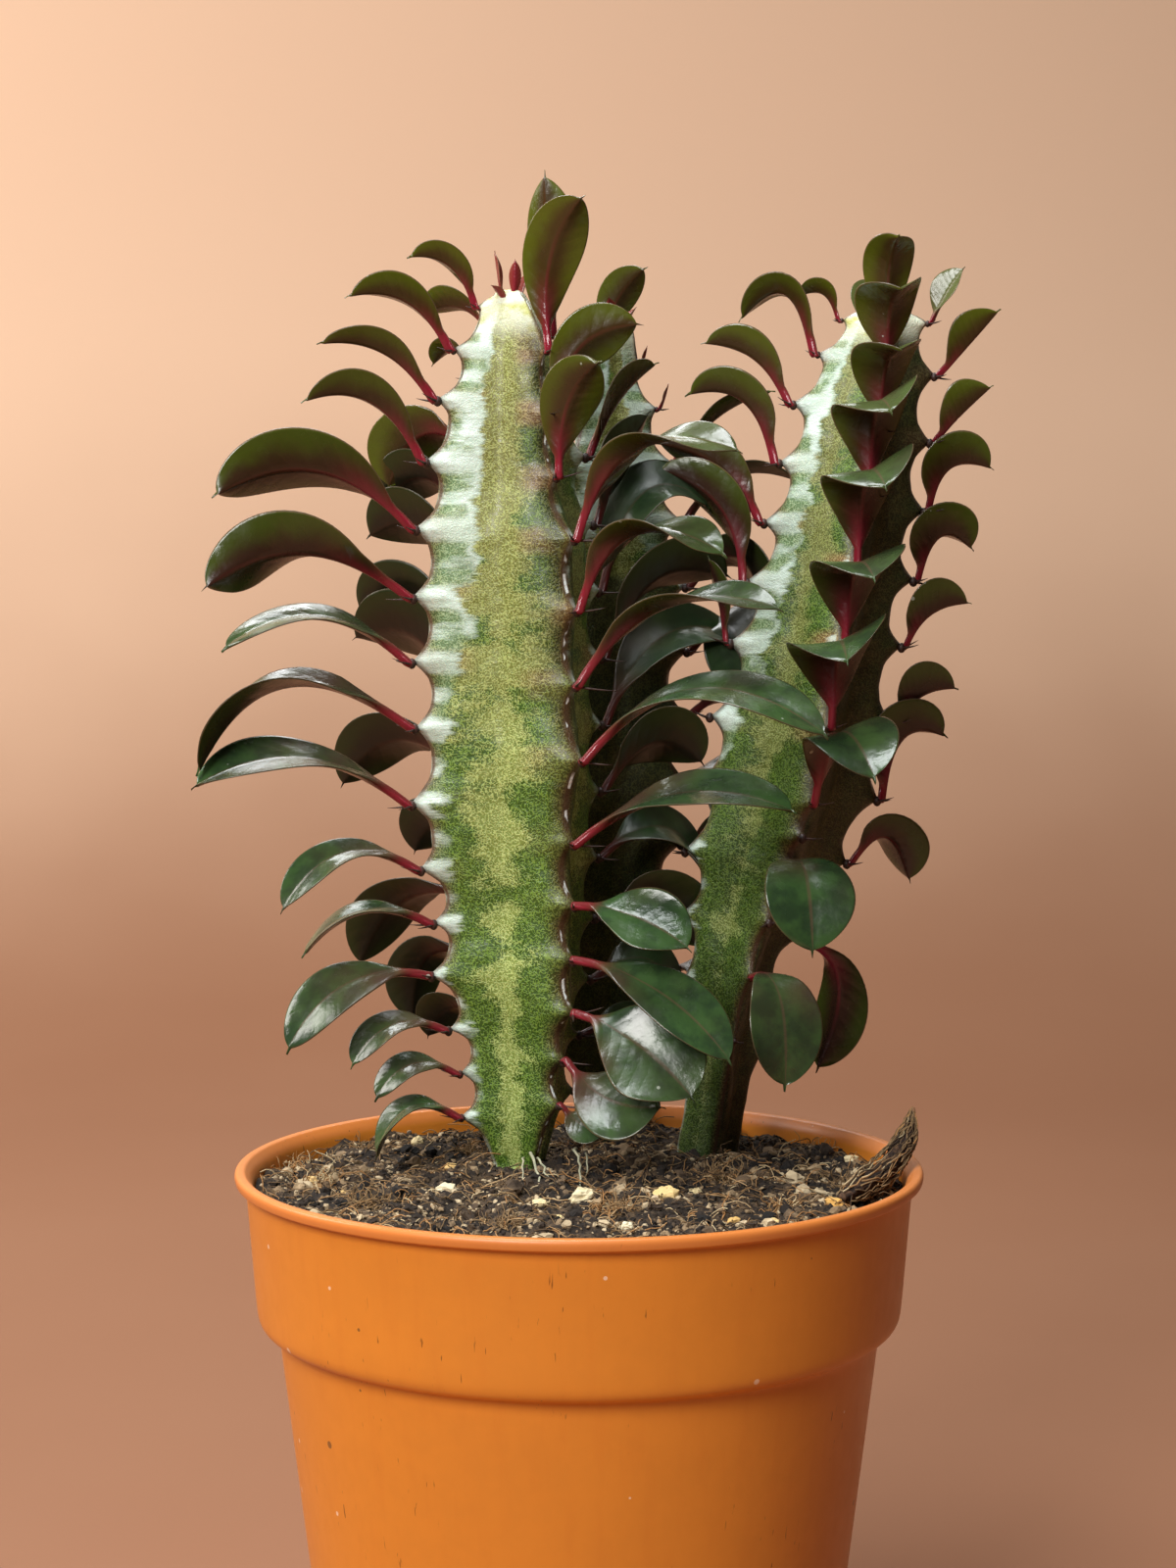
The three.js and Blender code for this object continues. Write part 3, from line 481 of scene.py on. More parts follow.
class Graph:
    """A node tree, with short calls for the nodes used here."""

    def __init__(self, tree):
        self.tree = tree

    def node(self, kind, inputs=None, **settings):
        made = self.tree.nodes.new(kind)
        for name, value in settings.items():
            setattr(made, name, value)
        for place, value in (inputs or {}).items():
            self.feed(made.inputs[place], value)
        return made

    def feed(self, socket, value):
        """Links the value to the socket, or sets it on the socket where it is a plain one."""
        if isinstance(value, bpy.types.NodeSocket):
            self.tree.links.new(value, socket)
        elif value is not None:
            socket.default_value = value

    def maths(self, operation, first, second=None, third=None, bounded=False):
        inputs = {0: first, 1: second, 2: third}
        return self.node("ShaderNodeMath", inputs, operation=operation, use_clamp=bounded).outputs[0]

    def times(self, first, *others):
        """All the values multiplied."""
        for other in others:
            first = self.maths("MULTIPLY", first, other)
        return first

    def scaled(self, value, factor, added, bounded=False):
        """The value times the factor, plus what is added."""
        return self.maths("MULTIPLY_ADD", value, factor, added, bounded)

    def vectors(self, operation, inputs):
        return self.node("ShaderNodeVectorMath", inputs, operation=operation).outputs[0]

    def band(self, value, low, high, start=0.0, end=1.0):
        """Start below low, end above high, and a soft step between."""
        inputs = {0: value, 1: low, 2: high, 3: start, 4: end}
        return self.node("ShaderNodeMapRange", inputs, interpolation_type="SMOOTHSTEP").outputs[0]

    def blend(self, share, first, second):
        return self.node("ShaderNodeMix", {0: share, 6: first, 7: second}, data_type="RGBA").outputs[2]

    def paint(self, tone, mask, strength, shade):
        """The tone with a shade laid over it where the mask is, at most at the given strength."""
        return self.blend(self.times(mask, strength), tone, shade)

    def noise(self, vector, scale, detail=2.0, roughness=0.55):
        inputs = {"Vector": vector, "Scale": scale, "Detail": detail, "Roughness": roughness}
        return self.node("ShaderNodeTexNoise", inputs).outputs[0]

    def streaks(self, vector, stretch, scale, detail=2.0, roughness=0.6):
        """Noise in a space that is stretched along x, y and z."""
        mapped = self.node("ShaderNodeMapping", {"Vector": vector, "Scale": stretch}).outputs[0]
        return self.noise(mapped, scale, detail, roughness)

    def split(self, vector):
        return self.node("ShaderNodeSeparateXYZ", {0: vector}).outputs

    def place(self):
        return self.node("ShaderNodeTexCoord").outputs["Object"]

    def attribute(self, name, output="Vector"):
        return self.node("ShaderNodeAttribute", attribute_name=name).outputs[output]

    def ramp(self, value, stops):
        made = self.node("ShaderNodeValToRGB", {0: value})
        elements = made.color_ramp.elements
        while len(elements) < len(stops):
            elements.new(0.5)
        for element, (position, shade) in zip(elements, stops):
            element.position = position
            element.color = shade
        return made.outputs[0]

    def group(self, tree, **inputs):
        made = self.node("ShaderNodeGroup", node_tree=tree)
        for name, value in inputs.items():
            self.feed(made.inputs[name], value)
        return made.outputs[0]

    def bump(self, height, strength, distance):
        inputs = {"Height": height, "Strength": strength, "Distance": distance}
        return self.node("ShaderNodeBump", inputs).outputs[0]


def colour(red, green, blue):
    """Screen values from 0 to 255 as the linear colour that a node takes."""
    values = [value / 255 for value in (red, green, blue)]
    return tuple(v / 12.92 if v < 0.04045 else ((v + 0.055) / 1.055) ** 2.4 for v in values) + (1.0,)


def shader_group(name, sizes, output, build):
    """A named node group from a vector and some sizes to one value, made once."""
    tree = bpy.data.node_groups.get(name)
    if tree:
        return tree
    tree = bpy.data.node_groups.new(name, "ShaderNodeTree")
    tree.interface.new_socket("Vector", in_out="INPUT", socket_type="NodeSocketVector")
    for size in sizes:
        tree.interface.new_socket(size, in_out="INPUT", socket_type="NodeSocketFloat")
    tree.interface.new_socket(output, in_out="OUTPUT", socket_type="NodeSocketFloat")
    graph = Graph(tree)
    result = build(graph, graph.node("NodeGroupInput").outputs)
    graph.feed(graph.node("NodeGroupOutput").inputs[output], result)
    return tree


def specks(graph, place, scale, size, share):
    """Small scattered specks, such as dust, grit or dried drops: a share of the cells of a pattern."""
    def build(inner, given):
        inputs = {"Vector": given["Vector"], "Scale": given["Scale"]}
        cells = inner.node("ShaderNodeTexVoronoi", inputs, feature="F1").outputs
        picked = inner.maths("LESS_THAN", inner.split(cells["Color"])[0], given["Share"])
        radius = inner.times(given["Size"], inner.split(cells["Color"])[1])
        return inner.times(picked, inner.maths("LESS_THAN", cells["Distance"], radius))

    tree = shader_group("Specks", ["Scale", "Size", "Share"], "Mask", build)
    return graph.group(tree, Vector=place, Scale=scale, Size=size, Share=share)


def grain(graph, place, scale):
    """Two sizes of soft grain, for bump and for uneven gloss."""
    def build(inner, given):
        coarse = inner.noise(given["Vector"], given["Scale"], 3.0, 0.6)
        fine = inner.noise(given["Vector"], inner.times(given["Scale"], 5.3), 2.0, 0.6)
        return inner.maths("ADD", inner.times(coarse, 0.65), inner.times(fine, 0.35))

    return graph.group(shader_group("Grain", ["Scale"], "Grain", build), Vector=place, Scale=scale)


def maze(graph, place, scale, width=0.09):
    """The fine mottling of a plant's skin: pale winding lines on a darker ground."""
    def build(inner, given):
        winding = inner.noise(given["Vector"], given["Scale"], 1.0, 0.4)
        away = inner.maths("ABSOLUTE", inner.maths("SUBTRACT", winding, 0.5))
        return inner.band(away, 0.02, given["Width"], 1.0, 0.0)

    tree = shader_group("Skin Maze", ["Scale", "Width"], "Lines", build)
    return graph.group(tree, Vector=place, Scale=scale, Width=width)


def finish(name, build, roughness=0.5, **settings):
    """A material, made once, whose surface the build function fills in."""
    made = bpy.data.materials.get(name)
    if made:
        return made
    made = bpy.data.materials.new(name)
    made.use_nodes = True
    made.node_tree.nodes.clear()
    graph = Graph(made.node_tree)
    surface = graph.node("ShaderNodeBsdfPrincipled")
    surface.inputs["Roughness"].default_value = roughness
    for socket, value in settings.items():
        surface.inputs[socket.replace("_", " ")].default_value = value
    output = graph.node("ShaderNodeOutputMaterial")
    graph.feed(output.inputs["Surface"], surface.outputs[0])
    build(graph, surface.inputs)
    return made


# ---------------------------------------------------------------- finishes

# Places of some colours, in metres: the lip's height, the heights from which the stems' stripes turn
# yellow, the heights over which the right stem's painted shade deepens toward its foot, the stems' tip,
# and where the right stem starts from the left.
LIP_BAND = (0.1024, 0.1036)
RISE_BAND = (0.13, 0.235)
FOOT_BAND = (0.09, 0.165)
TIP_BAND = (0.2475, 0.2545)
RIGHT_STEM_BAND = (0.012, 0.022)


def pot_finish(settings):
    """Orange plastic, paler at the lip, with faint upright flow marks, a few scratches, dirt and dust."""
    def build(graph, surface):
        place = graph.place()
        cloud = grain(graph, place, 60.0)
        deep = tuple(channel * 0.96 for channel in settings.plastic[:3]) + (1.0,)
        tone = graph.blend(graph.band(cloud, 0.38, 0.62), tuple(settings.plastic), deep)
        tone = graph.paint(tone, graph.band(graph.split(place)[2], *LIP_BAND), 0.5, colour(218, 126, 74))
        flow = graph.streaks(place, (1.0, 1.0, 0.08), 420.0, roughness=0.5)
        tone = graph.blend(graph.band(flow, 0.45, 0.75, 0.0, 0.08), tone, colour(196, 92, 26))
        scratches = graph.streaks(place, (1.0, 1.0, 0.12), 1500.0, roughness=0.5)
        patches = graph.noise(place, 45.0)
        worn = graph.times(graph.band(scratches, 0.69, 0.74), graph.band(patches, 0.54, 0.62))
        tone = graph.paint(tone, worn, 0.7, colour(70, 36, 16))
        tone = graph.paint(tone, specks(graph, place, 170.0, 0.13, 0.1), 0.7, colour(84, 60, 36))
        tone = graph.paint(tone, specks(graph, place, 250.0, 0.16, 0.1), 0.7, colour(248, 214, 184))
        graph.feed(surface["Base Color"], tone)
        graph.feed(surface["Roughness"], graph.band(cloud, 0.3, 0.7, 0.34, 0.42))
        graph.feed(surface["Normal"], graph.bump(grain(graph, place, 700.0), 0.1, 0.0003))

    return finish("Moulded Plastic", build, IOR=1.48)


class StemSkin:
    """The stems' colours, laid one over the other. The mark named ridge holds how far a point lies from
    the rib's edge, how far it lies from a tooth, and how far the cream patches reach there; below zero it
    holds how deep the painted shade is instead."""

    def __init__(self, graph):
        self.graph = graph
        self.place = graph.place()
        self.from_rib, self.valley, self.cream = graph.split(graph.attribute("ridge"))
        self.height = graph.split(self.place)[2]
        self.rise = graph.band(self.height, *RISE_BAND)
        self.drift = graph.noise(self.place, 60.0)
        self.maze = maze(graph, self.place, 1900.0)
        self.blotch = graph.streaks(self.place, (0.75, 0.75, 1.35), 125.0, 3.0)

    def mottled(self, pale, dark):
        return self.graph.blend(self.maze, dark, pale)

    def faces(self, settings):
        """Yellow-green down the middle of each face, and soft green blotches beside it between the teeth,
        which are larger lower down. The right stem has more green, and painted shade over it that is deepest
        at its foot."""
        graph = self.graph
        right = graph.band(graph.split(self.place)[0], *RIGHT_STEM_BAND)
        green = graph.scaled(self.from_rib, -0.75, graph.times(self.valley, 0.16))
        green = graph.scaled(self.blotch, 1.8, green)
        green = graph.scaled(self.rise, -0.3, green)
        green = graph.scaled(right, 0.16, green)
        green = graph.scaled(self.maze, -0.1, green)
        stripe = graph.blend(
            self.rise, self.mottled(colour(190, 206, 124), colour(132, 150, 72)),
            self.mottled(colour(164, 170, 98), colour(116, 116, 56)),
        )
        fresh = self.mottled(tuple(settings.green), colour(60, 88, 26))
        tone = graph.blend(graph.band(green, 0.22, 0.52), stripe, fresh)
        # Painted shade on the right stem, deepest at its foot.
        painted_foot_shade = graph.times(right, graph.band(self.height, *FOOT_BAND, 0.58, 0.3))
        return graph.blend(painted_foot_shade, tone, colour(48, 60, 26))

    def browning(self, tone):
        """Pinkish brown strokes at the teeth higher up, brown toward the ribs' edges, and painted shade in
        dark brown-olive on the faces that lie in the shade."""
        graph = self.graph
        blush = graph.times(
            graph.band(self.valley, 0.1, 0.6, 1.0, 0.0), graph.band(self.from_rib, 0.15, 0.75, 1.0, 0.0),
            self.rise, graph.band(self.drift, 0.35, 0.6),
        )
        tone = graph.paint(tone, blush, 0.8, self.mottled(colour(204, 160, 122), colour(150, 100, 66)))
        edge = graph.band(self.from_rib, 0.04, 0.3, 1.0, 0.0)
        brown = graph.times(edge, graph.band(self.valley, 0.0, 0.8, 0.35, 0.85))
        tone = graph.blend(brown, tone, self.mottled(colour(124, 108, 70), colour(70, 56, 32)))
        # Painted shade: faces whose cream mark is below zero are darkened to brown-olive.
        shade = graph.band(self.cream, -0.25, -0.02, 0.85, 0.0)
        return graph.blend(shade, tone, self.mottled(colour(72, 76, 44), colour(40, 44, 26)))

    def cream_patches(self, tone):
        """Cream patches with fine streaks that run in from the edge: broken by a brown notch below each
        tooth, joined further in where they are broad, and minty where they are worn. Lower down, where the
        patches shrink to spots at the teeth, these spots are painted highlights."""
        graph = self.graph
        coarse = graph.streaks(self.place, (0.4, 0.4, 1.3), 330.0)
        fine = graph.streaks(self.place, (0.25, 0.25, 2.2), 1300.0)
        streaks = graph.scaled(fine, 0.5, graph.scaled(coarse, 0.8, -0.65))
        beyond = graph.maths("SUBTRACT", self.from_rib, graph.scaled(self.cream, 0.64, 0.02))
        beyond = graph.scaled(streaks, -0.5, beyond)
        beyond = graph.scaled(graph.maths("SUBTRACT", self.blotch, 0.5), -0.7, beyond)
        inside = graph.band(beyond, -0.12, 0.05, 1.0, 0.0)
        mint = graph.times(
            inside, graph.band(self.cream, 0.12, 0.5), graph.band(self.from_rib, 0.05, 0.3, 0.15, 0.8),
        )
        tone = graph.blend(mint, tone, self.mottled(colour(164, 186, 146), colour(108, 136, 92)))
        pulse = graph.scaled(streaks, -0.7, self.valley)
        depth = graph.scaled(streaks, 0.5, graph.scaled(self.cream, -0.3, 0.72))
        depth = graph.scaled(graph.maths("SUBTRACT", self.drift, 0.5), 1.4, depth)
        notch = graph.times(
            graph.band(pulse, 0.06, 0.4), graph.band(pulse, 0.8, 1.05, 1.0, 0.25),
            graph.band(graph.maths("SUBTRACT", self.from_rib, depth), -0.14, 0.06, 1.0, 0.0),
        )
        worn = graph.band(graph.scaled(coarse, 1.0, self.drift), 0.8, 1.2, 1.0, 0.55)
        whole = graph.maths("SUBTRACT", 1.0, notch, bounded=True)
        # Cream patches of the skin; their small spots at the teeth lower down are painted highlights.
        white = graph.times(whole, worn, inside, graph.band(self.cream, 0.04, 0.16))
        return graph.paint(tone, white, 0.95, colour(222, 240, 230))

    def tip_and_edge(self, tone):
        """A cream and yellow tip, a thin rusty edge, and painted highlights: pale glint dashes on the left
        stem's inner rib.
        """
        graph = self.graph
        tip = graph.times(graph.band(self.height, *TIP_BAND), graph.band(self.drift, 0.25, 0.5, 0.6, 1.0))
        pale = graph.blend(graph.band(self.blotch, 0.5, 0.66), colour(234, 238, 212), colour(196, 196, 104))
        tone = graph.blend(tip, tone, pale)
        rust = graph.times(
            graph.band(self.from_rib, 0.02, 0.1, 0.85, 0.0), graph.band(self.valley, 0.0, 0.3, 0.6, 1.0),
        )
        tone = graph.blend(rust, tone, colour(84, 58, 40))
        # Painted highlights: short pale glints along the left stem's inner rib edge, in the hollows between
        # teeth.
        dashes = graph.streaks(self.place, (1.0, 1.0, 0.8), 380.0, 1.0, 0.55)
        glint = graph.times(
            graph.attribute("wet_edge", "Fac"), graph.band(self.from_rib, 0.012, 0.035, 1.0, 0.0),
            graph.band(dashes, 0.54, 0.59), graph.band(self.valley, 0.1, 0.4),
        )
        return graph.blend(glint, tone, colour(246, 250, 246))


def stem_finish(settings):
    """Pale-striped green skin with a fine maze of lines and cream patches along the ribs."""
    def build(graph, surface):
        skin = StemSkin(graph)
        tone = skin.tip_and_edge(skin.cream_patches(skin.browning(skin.faces(settings))))
        graph.feed(surface["Base Color"], tone)
        graph.feed(surface["Roughness"], graph.band(graph.noise(skin.place, 500.0), 0.35, 0.65, 0.34, 0.48))
        wrinkles = graph.streaks(skin.place, (0.7, 0.7, 1.4), 420.0, 3.0)
        graph.feed(surface["Normal"], graph.bump(graph.scaled(skin.maze, 0.22, wrinkles), 0.5, 0.0005))

    return finish("Stem Skin", build, Subsurface_Weight=0.05, Subsurface_Scale=0.0015)


def grainy_finish(name, scale, dark, pale, roughness):
    """One soft mottle of two tones."""
    def build(graph, surface):
        mottle = graph.band(grain(graph, graph.place(), scale), 0.35, 0.65)
        graph.feed(surface["Base Color"], graph.blend(mottle, dark, pale))

    return finish(name, build, roughness)


def spine_finish():
    return grainy_finish("Spines", 900.0, colour(34, 20, 18), colour(74, 48, 40), 0.5)


class LeafSkin:
    """The leaves' colours. The mark named blade holds the place across the blade from -1 to 1, the place
    along it from the stalk's foot, and 1 plus the leaf's age, below zero on its underside."""

    def __init__(self, graph):
        self.graph = graph
        self.place = graph.place()
        across, self.along, side = graph.split(graph.attribute("blade"))
        self.across = graph.maths("ABSOLUTE", across)
        age = graph.maths("SUBTRACT", graph.maths("ABSOLUTE", side), 1.0)
        self.youth = graph.maths("MAXIMUM", age, 0.0)
        # How deep the painted shade is on a leaf in the stems' shade.
        self.painted_shade = graph.band(age, PAINTED_SHADE_AGE, 0.0, 0.6, 0.0)
        self.bud = graph.band(age, 1.1, BUD_AGE, 0.0, 0.75)
        self.upper = graph.band(side, -0.3, 0.3)
        self.mottle = graph.noise(self.place, 190.0, 3.0, 0.6)

    def upper_side(self, settings):
        """Dark green, pinkish brown toward the stalk and in patches, with a thin brown midrib."""
        graph = self.graph
        top = graph.blend(graph.band(self.mottle, 0.35, 0.65), tuple(settings.upper), colour(58, 86, 46))
        patches = graph.band(graph.noise(self.place, 50.0), 0.38, 0.62)
        brown = graph.times(graph.band(self.along, 0.2, 0.75, 1.0, 0.15), patches)
        brown = graph.scaled(self.youth, 0.3, graph.times(brown, 0.7), bounded=True)
        top = graph.blend(brown, top, colour(92, 56, 52))
        top = graph.paint(top, self.youth, 0.6, colour(92, 100, 48))
        return graph.paint(top, graph.band(self.across, 0.015, 0.06, 1.0, 0.0), 0.4, colour(104, 74, 62))

    def underside(self, settings):
        """Olive toward the margin and the tip, dark brown in the middle, crimson midrib and base."""
        graph = self.graph
        spread = graph.maths("ADD", self.across, graph.scaled(self.mottle, 0.5, -0.25))
        spread = graph.times(spread, graph.band(self.along, 0.1, 0.7, 0.45, 1.15))
        olive = graph.blend(self.youth, tuple(settings.under), colour(84, 90, 20))
        middle_tone = graph.blend(self.youth, colour(48, 29, 22), colour(66, 50, 22))
        under = graph.blend(graph.band(spread, 0.2, 0.95), middle_tone, olive)
        base = graph.times(
            graph.band(self.along, 0.12, 0.52, 0.9, 0.0), graph.band(self.across, 0.1, 0.85, 1.0, 0.1),
        )
        under = graph.blend(base, under, colour(122, 32, 46))
        midrib = graph.times(
            graph.band(self.across, 0.03, 0.1, 1.0, 0.0), graph.band(self.along, 0.3, 0.8, 0.5, 0.12),
        )
        return graph.blend(midrib, under, colour(110, 32, 40))

    def trimmings(self, tone, settings):
        """Thin pale margin, crimson stalk that is browner on its upper side, a few pale specks, painted
        shade in near-black green on leaves in the stems' shade, and the redder tone of buds."""
        graph = self.graph
        tone = graph.blend(graph.band(self.across, 0.965, 0.995, 0.0, 0.5), tone, colour(124, 92, 70))
        stalk_tone = graph.paint(tuple(settings.stalk), self.upper, 0.4, colour(96, 50, 40))
        tone = graph.blend(graph.band(self.along, 0.08, 0.25, 1.0, 0.0), tone, stalk_tone)
        tone = graph.paint(tone, specks(graph, self.place, 300.0, 0.13, 0.12), 0.6, colour(186, 192, 178))
        # Painted shade: leaves in the stems' shade are darkened to near-black green.
        tone = graph.blend(self.painted_shade, tone, colour(14, 26, 12))
        return graph.blend(self.bud, tone, colour(142, 34, 50))

    def relief(self):
        """Side veins that sweep forward from the midrib, and fine pits."""
        graph = self.graph
        sweep = graph.scaled(self.across, -1.6, graph.times(self.along, 11.0))
        veins = graph.maths("ABSOLUTE", graph.maths("SINE", graph.times(sweep, math.pi)))
        pits = graph.noise(self.place, 1500.0, 2.0, 0.6)
        return graph.scaled(veins, 0.12, graph.scaled(pits, 0.16, self.mottle))


def leaf_finish(settings):
    """Glossy succulent leaf, dark green above and brown, olive and crimson below."""
    def build(graph, surface):
        skin = LeafSkin(graph)
        tone = graph.blend(skin.upper, skin.underside(settings), skin.upper_side(settings))
        graph.feed(surface["Base Color"], skin.trimmings(tone, settings))
        film = graph.band(graph.noise(skin.place, 130.0, 3.0, 0.65), 0.35, 0.65, 0.17, 0.31)
        graph.feed(surface["Roughness"], graph.scaled(skin.painted_shade, 0.18, film))
        graph.feed(surface["Normal"], graph.bump(skin.relief(), 0.3, 0.0005))

    return finish("Leaf Skin", build, IOR=1.5)


def soil_finish():
    """Dark peat with paler crumbs and flecks."""
    def build(graph, surface):
        place = graph.place()
        tone = graph.ramp(grain(graph, place, 260.0), [
            (0.3, colour(14, 10, 8)), (0.48, colour(42, 32, 24)), (0.62, colour(92, 74, 54)),
            (0.78, colour(140, 116, 86)),
        ])
        tone = graph.paint(tone, specks(graph, place, 700.0, 0.5, 0.06), 0.6, colour(146, 118, 82))
        graph.feed(surface["Base Color"], tone)
        graph.feed(surface["Normal"], graph.bump(grain(graph, place, 700.0), 0.9, 0.0012))

    return finish("Peat Soil", build, roughness=0.95)


def litter_finish(name, stops, roughness=0.9, patchiness=0.0):
    """Crumbs, fibres or grit, whose tint attribute picks a colour for each bit, darker in some patches."""
    def build(graph, surface):
        place = graph.place()
        coat = grain(graph, place, 900.0)
        patches = graph.maths("SUBTRACT", graph.noise(place, 70.0), 0.5)
        pick = graph.scaled(graph.maths("SUBTRACT", coat, 0.5), 0.35, graph.attribute("tint", "Fac"))
        pick = graph.scaled(patches, patchiness, pick, bounded=True)
        graph.feed(surface["Base Color"], graph.ramp(pick, stops))
        graph.feed(surface["Normal"], graph.bump(coat, 0.6, 0.0004))

    return finish(name, build, roughness)


def crumb_finish():
    return litter_finish("Soil Crumbs", [
        (0.0, colour(16, 12, 10)), (0.4, colour(50, 38, 28)), (0.64, colour(108, 88, 66)),
        (0.84, colour(158, 134, 102)), (1.0, colour(200, 180, 146)),
    ], patchiness=1.8)


def fibre_finish():
    return litter_finish("Dry Fibres", [
        (0.0, colour(58, 42, 28)), (0.35, colour(108, 84, 56)), (0.6, colour(150, 122, 84)),
        (0.85, colour(172, 122, 70)), (1.0, colour(210, 192, 152)),
    ])


def grit_finish():
    return litter_finish("Pale Grit", [
        (0.0, colour(236, 228, 200)), (0.5, colour(228, 204, 146)), (1.0, colour(222, 164, 74)),
    ], 0.8)


def bark_finish():
    """Dark bark, streaked along the root."""
    def build(graph, surface):
        streaks = graph.streaks(graph.place(), (1.0, 1.0, 0.45), 700.0, 3.0, 0.65)
        tone = graph.ramp(streaks, [
            (0.3, colour(22, 15, 12)), (0.5, colour(52, 35, 26)), (0.68, colour(98, 70, 48)),
        ])
        graph.feed(surface["Base Color"], tone)
        graph.feed(surface["Normal"], graph.bump(streaks, 0.9, 0.0008))

    return finish("Dry Bark", build, roughness=0.85)


def new_root_finish():
    return grainy_finish("Young Roots", 600.0, colour(150, 152, 128), colour(196, 190, 160), 0.6)


def stage_finish(settings):
    """Smooth paper that is darker toward the floor."""
    def build(graph, surface):
        place = graph.place()
        drift = graph.noise(place, 3.0, 3.0)
        height = graph.band(graph.scaled(drift, 0.12, graph.split(place)[2]), 0.03, 0.42)
        graph.feed(surface["Base Color"], graph.blend(height, tuple(settings.floor), tuple(settings.wall)))
        graph.feed(surface["Normal"], graph.bump(grain(graph, place, 300.0), 0.05, 0.0005))

    return finish("Pale Backdrop", build, roughness=0.85)


# ---------------------------------------------------------------- pot

DRAIN_HOLES = 6
DRAIN_RADIUS = 4
DRAIN_CIRCLE = 27
DRILL_SIDES = 32
DRILL_ENDS = (-3, 5)
POT_SIDES = 192
CORNER_STEPS = 5
ON_AXIS = 1e-6


def rounded(wall):
    """The wall's outline with each corner drawn as a short curve."""
    outline = []
    for index, (radius, height, corner) in enumerate(wall):
        here = Vector((radius, height))
        if corner == 0 or index in (0, len(wall) - 1):
            outline.append(here)
            continue
        before = Vector(wall[index - 1][:2]) - here
        after = Vector(wall[index + 1][:2]) - here
        start = here + before.normalized() * min(corner, before.length * 0.5)
        end = here + after.normalized() * min(corner, after.length * 0.5)
        for t in shares(CORNER_STEPS):
            outline.append(start * (1 - t) ** 2 + here * 2 * t * (1 - t) + end * t * t)
    return outline


def spun(name, outline, sides, finishes):
    """A closed body of revolution whose outline starts and ends on the axis."""
    mesh = bpy.data.meshes.new(name)
    made = bmesh.new()
    rings = []
    for radius, height in outline:
        if radius < ON_AXIS:
            rings.append([made.verts.new((0, 0, height * MM))])
            continue
        rings.append([
            made.verts.new((radius * MM * math.cos(angle), radius * MM * math.sin(angle), height * MM))
            for angle in turns(sides)
        ])
    for low, high in zip(rings, rings[1:]):
        for side in range(sides):
            following = (side + 1) % sides
            if len(low) == 1:
                made.faces.new((low[0], high[following], high[side]))
            elif len(high) == 1:
                made.faces.new((low[side], low[following], high[0]))
            else:
                made.faces.new((low[side], low[following], high[following], high[side]))
    bmesh.ops.recalc_face_normals(made, faces=made.faces)
    for face in made.faces:
        face.smooth = True
    made.to_mesh(mesh)
    made.free()
    for entry in finishes:
        mesh.materials.append(entry)
    return show(name, mesh)


def drain_drills():
    """One drill for each hole in the pot's base, as one mesh."""
    drills = Shell()
    for turn in turns(DRAIN_HOLES):
        centre = Vector((DRAIN_CIRCLE * math.cos(turn), DRAIN_CIRCLE * math.sin(turn), 0))
        rings = []
        for height in DRILL_ENDS:
            rings.append([
                centre + Vector((math.cos(angle), math.sin(angle), 0)) * DRAIN_RADIUS + UP * height
                for angle in turns(DRILL_SIDES)
            ])
        drills.add_rings(rings)
    return drills.make("drain_drills", [])


def build_pot(settings):
    """The wall and floor in one turned body, with the drain holes cut out of it."""
    stock = spun("pot_stock", rounded(POT_WALL), POT_SIDES, [pot_finish(settings)])
    drills = drain_drills()
    cut = stock.modifiers.new("Drain holes", "BOOLEAN")
    cut.operation = "DIFFERENCE"
    cut.solver = "EXACT"
    cut.object = drills
    mesh = baked(stock, "pot_body")
    bpy.data.objects.remove(stock)
    bpy.data.objects.remove(drills)
    settle(show("pot_body", mesh), "pot_plastic", "pot")


# ---------------------------------------------------------------- soil

SOIL_EDGE = 100.6
SOIL_DROP = 0.3
SOIL_DOME = 2.2
SOIL_DOME_RADIUS = 58
SOIL_WAVE = 0.25
SOIL_RADIUS = 56.4
SOIL_RINGS = 120
SOIL_SIDES = 300
SOIL_SIDE = [(54.8, 83), (51, 78.2), (41.1, 1.9)]


def soil_noise(x, y, layer, scale):
    return noise.noise(Vector((x, y, layer)) * scale)


def soil_height(x, y):
    """The soil's surface: a shallow dome with slow waves, clods and crumbs."""
    dome = SOIL_DOME * (1 - (math.hypot(x, y) / SOIL_DOME_RADIUS) ** 2)
    waves = math.sin(0.31 * x + 1.3) * math.cos(0.27 * y) + math.sin(0.17 * x - 0.23 * y)
    clods = 1.7 * soil_noise(x, y, 3, 0.16) + 1.3 * abs(soil_noise(x, y, 9, 0.36))
    crumbs = 0.7 * abs(soil_noise(x, y, 21, 0.9)) + 0.35 * soil_noise(x, y, 5, 2.1)
    return SOIL_EDGE + dome + SOIL_WAVE * waves + clods + crumbs - SOIL_DROP


def soil_surface():
    """The top of the soil as points and faces, ring by ring from the middle out."""
    points = [Vector((0, 0, soil_height(0, 0)))]
    faces = []
    for ring in range(1, SOIL_RINGS + 1):
        radius = SOIL_RADIUS * ring / SOIL_RINGS
        for angle in turns(SOIL_SIDES):
            x, y = radius * math.cos(angle), radius * math.sin(angle)
            points.append(Vector((x, y, soil_height(x, y))))
    for side in range(SOIL_SIDES):
        faces.append((0, 1 + side, 1 + (side + 1) % SOIL_SIDES))
    for ring in range(SOIL_RINGS - 1):
        low = 1 + ring * SOIL_SIDES
        high = low + SOIL_SIDES
        for side in range(SOIL_SIDES):
            following = (side + 1) % SOIL_SIDES
            faces.append((low + side, high + side, high + following, low + following))
    return points, faces


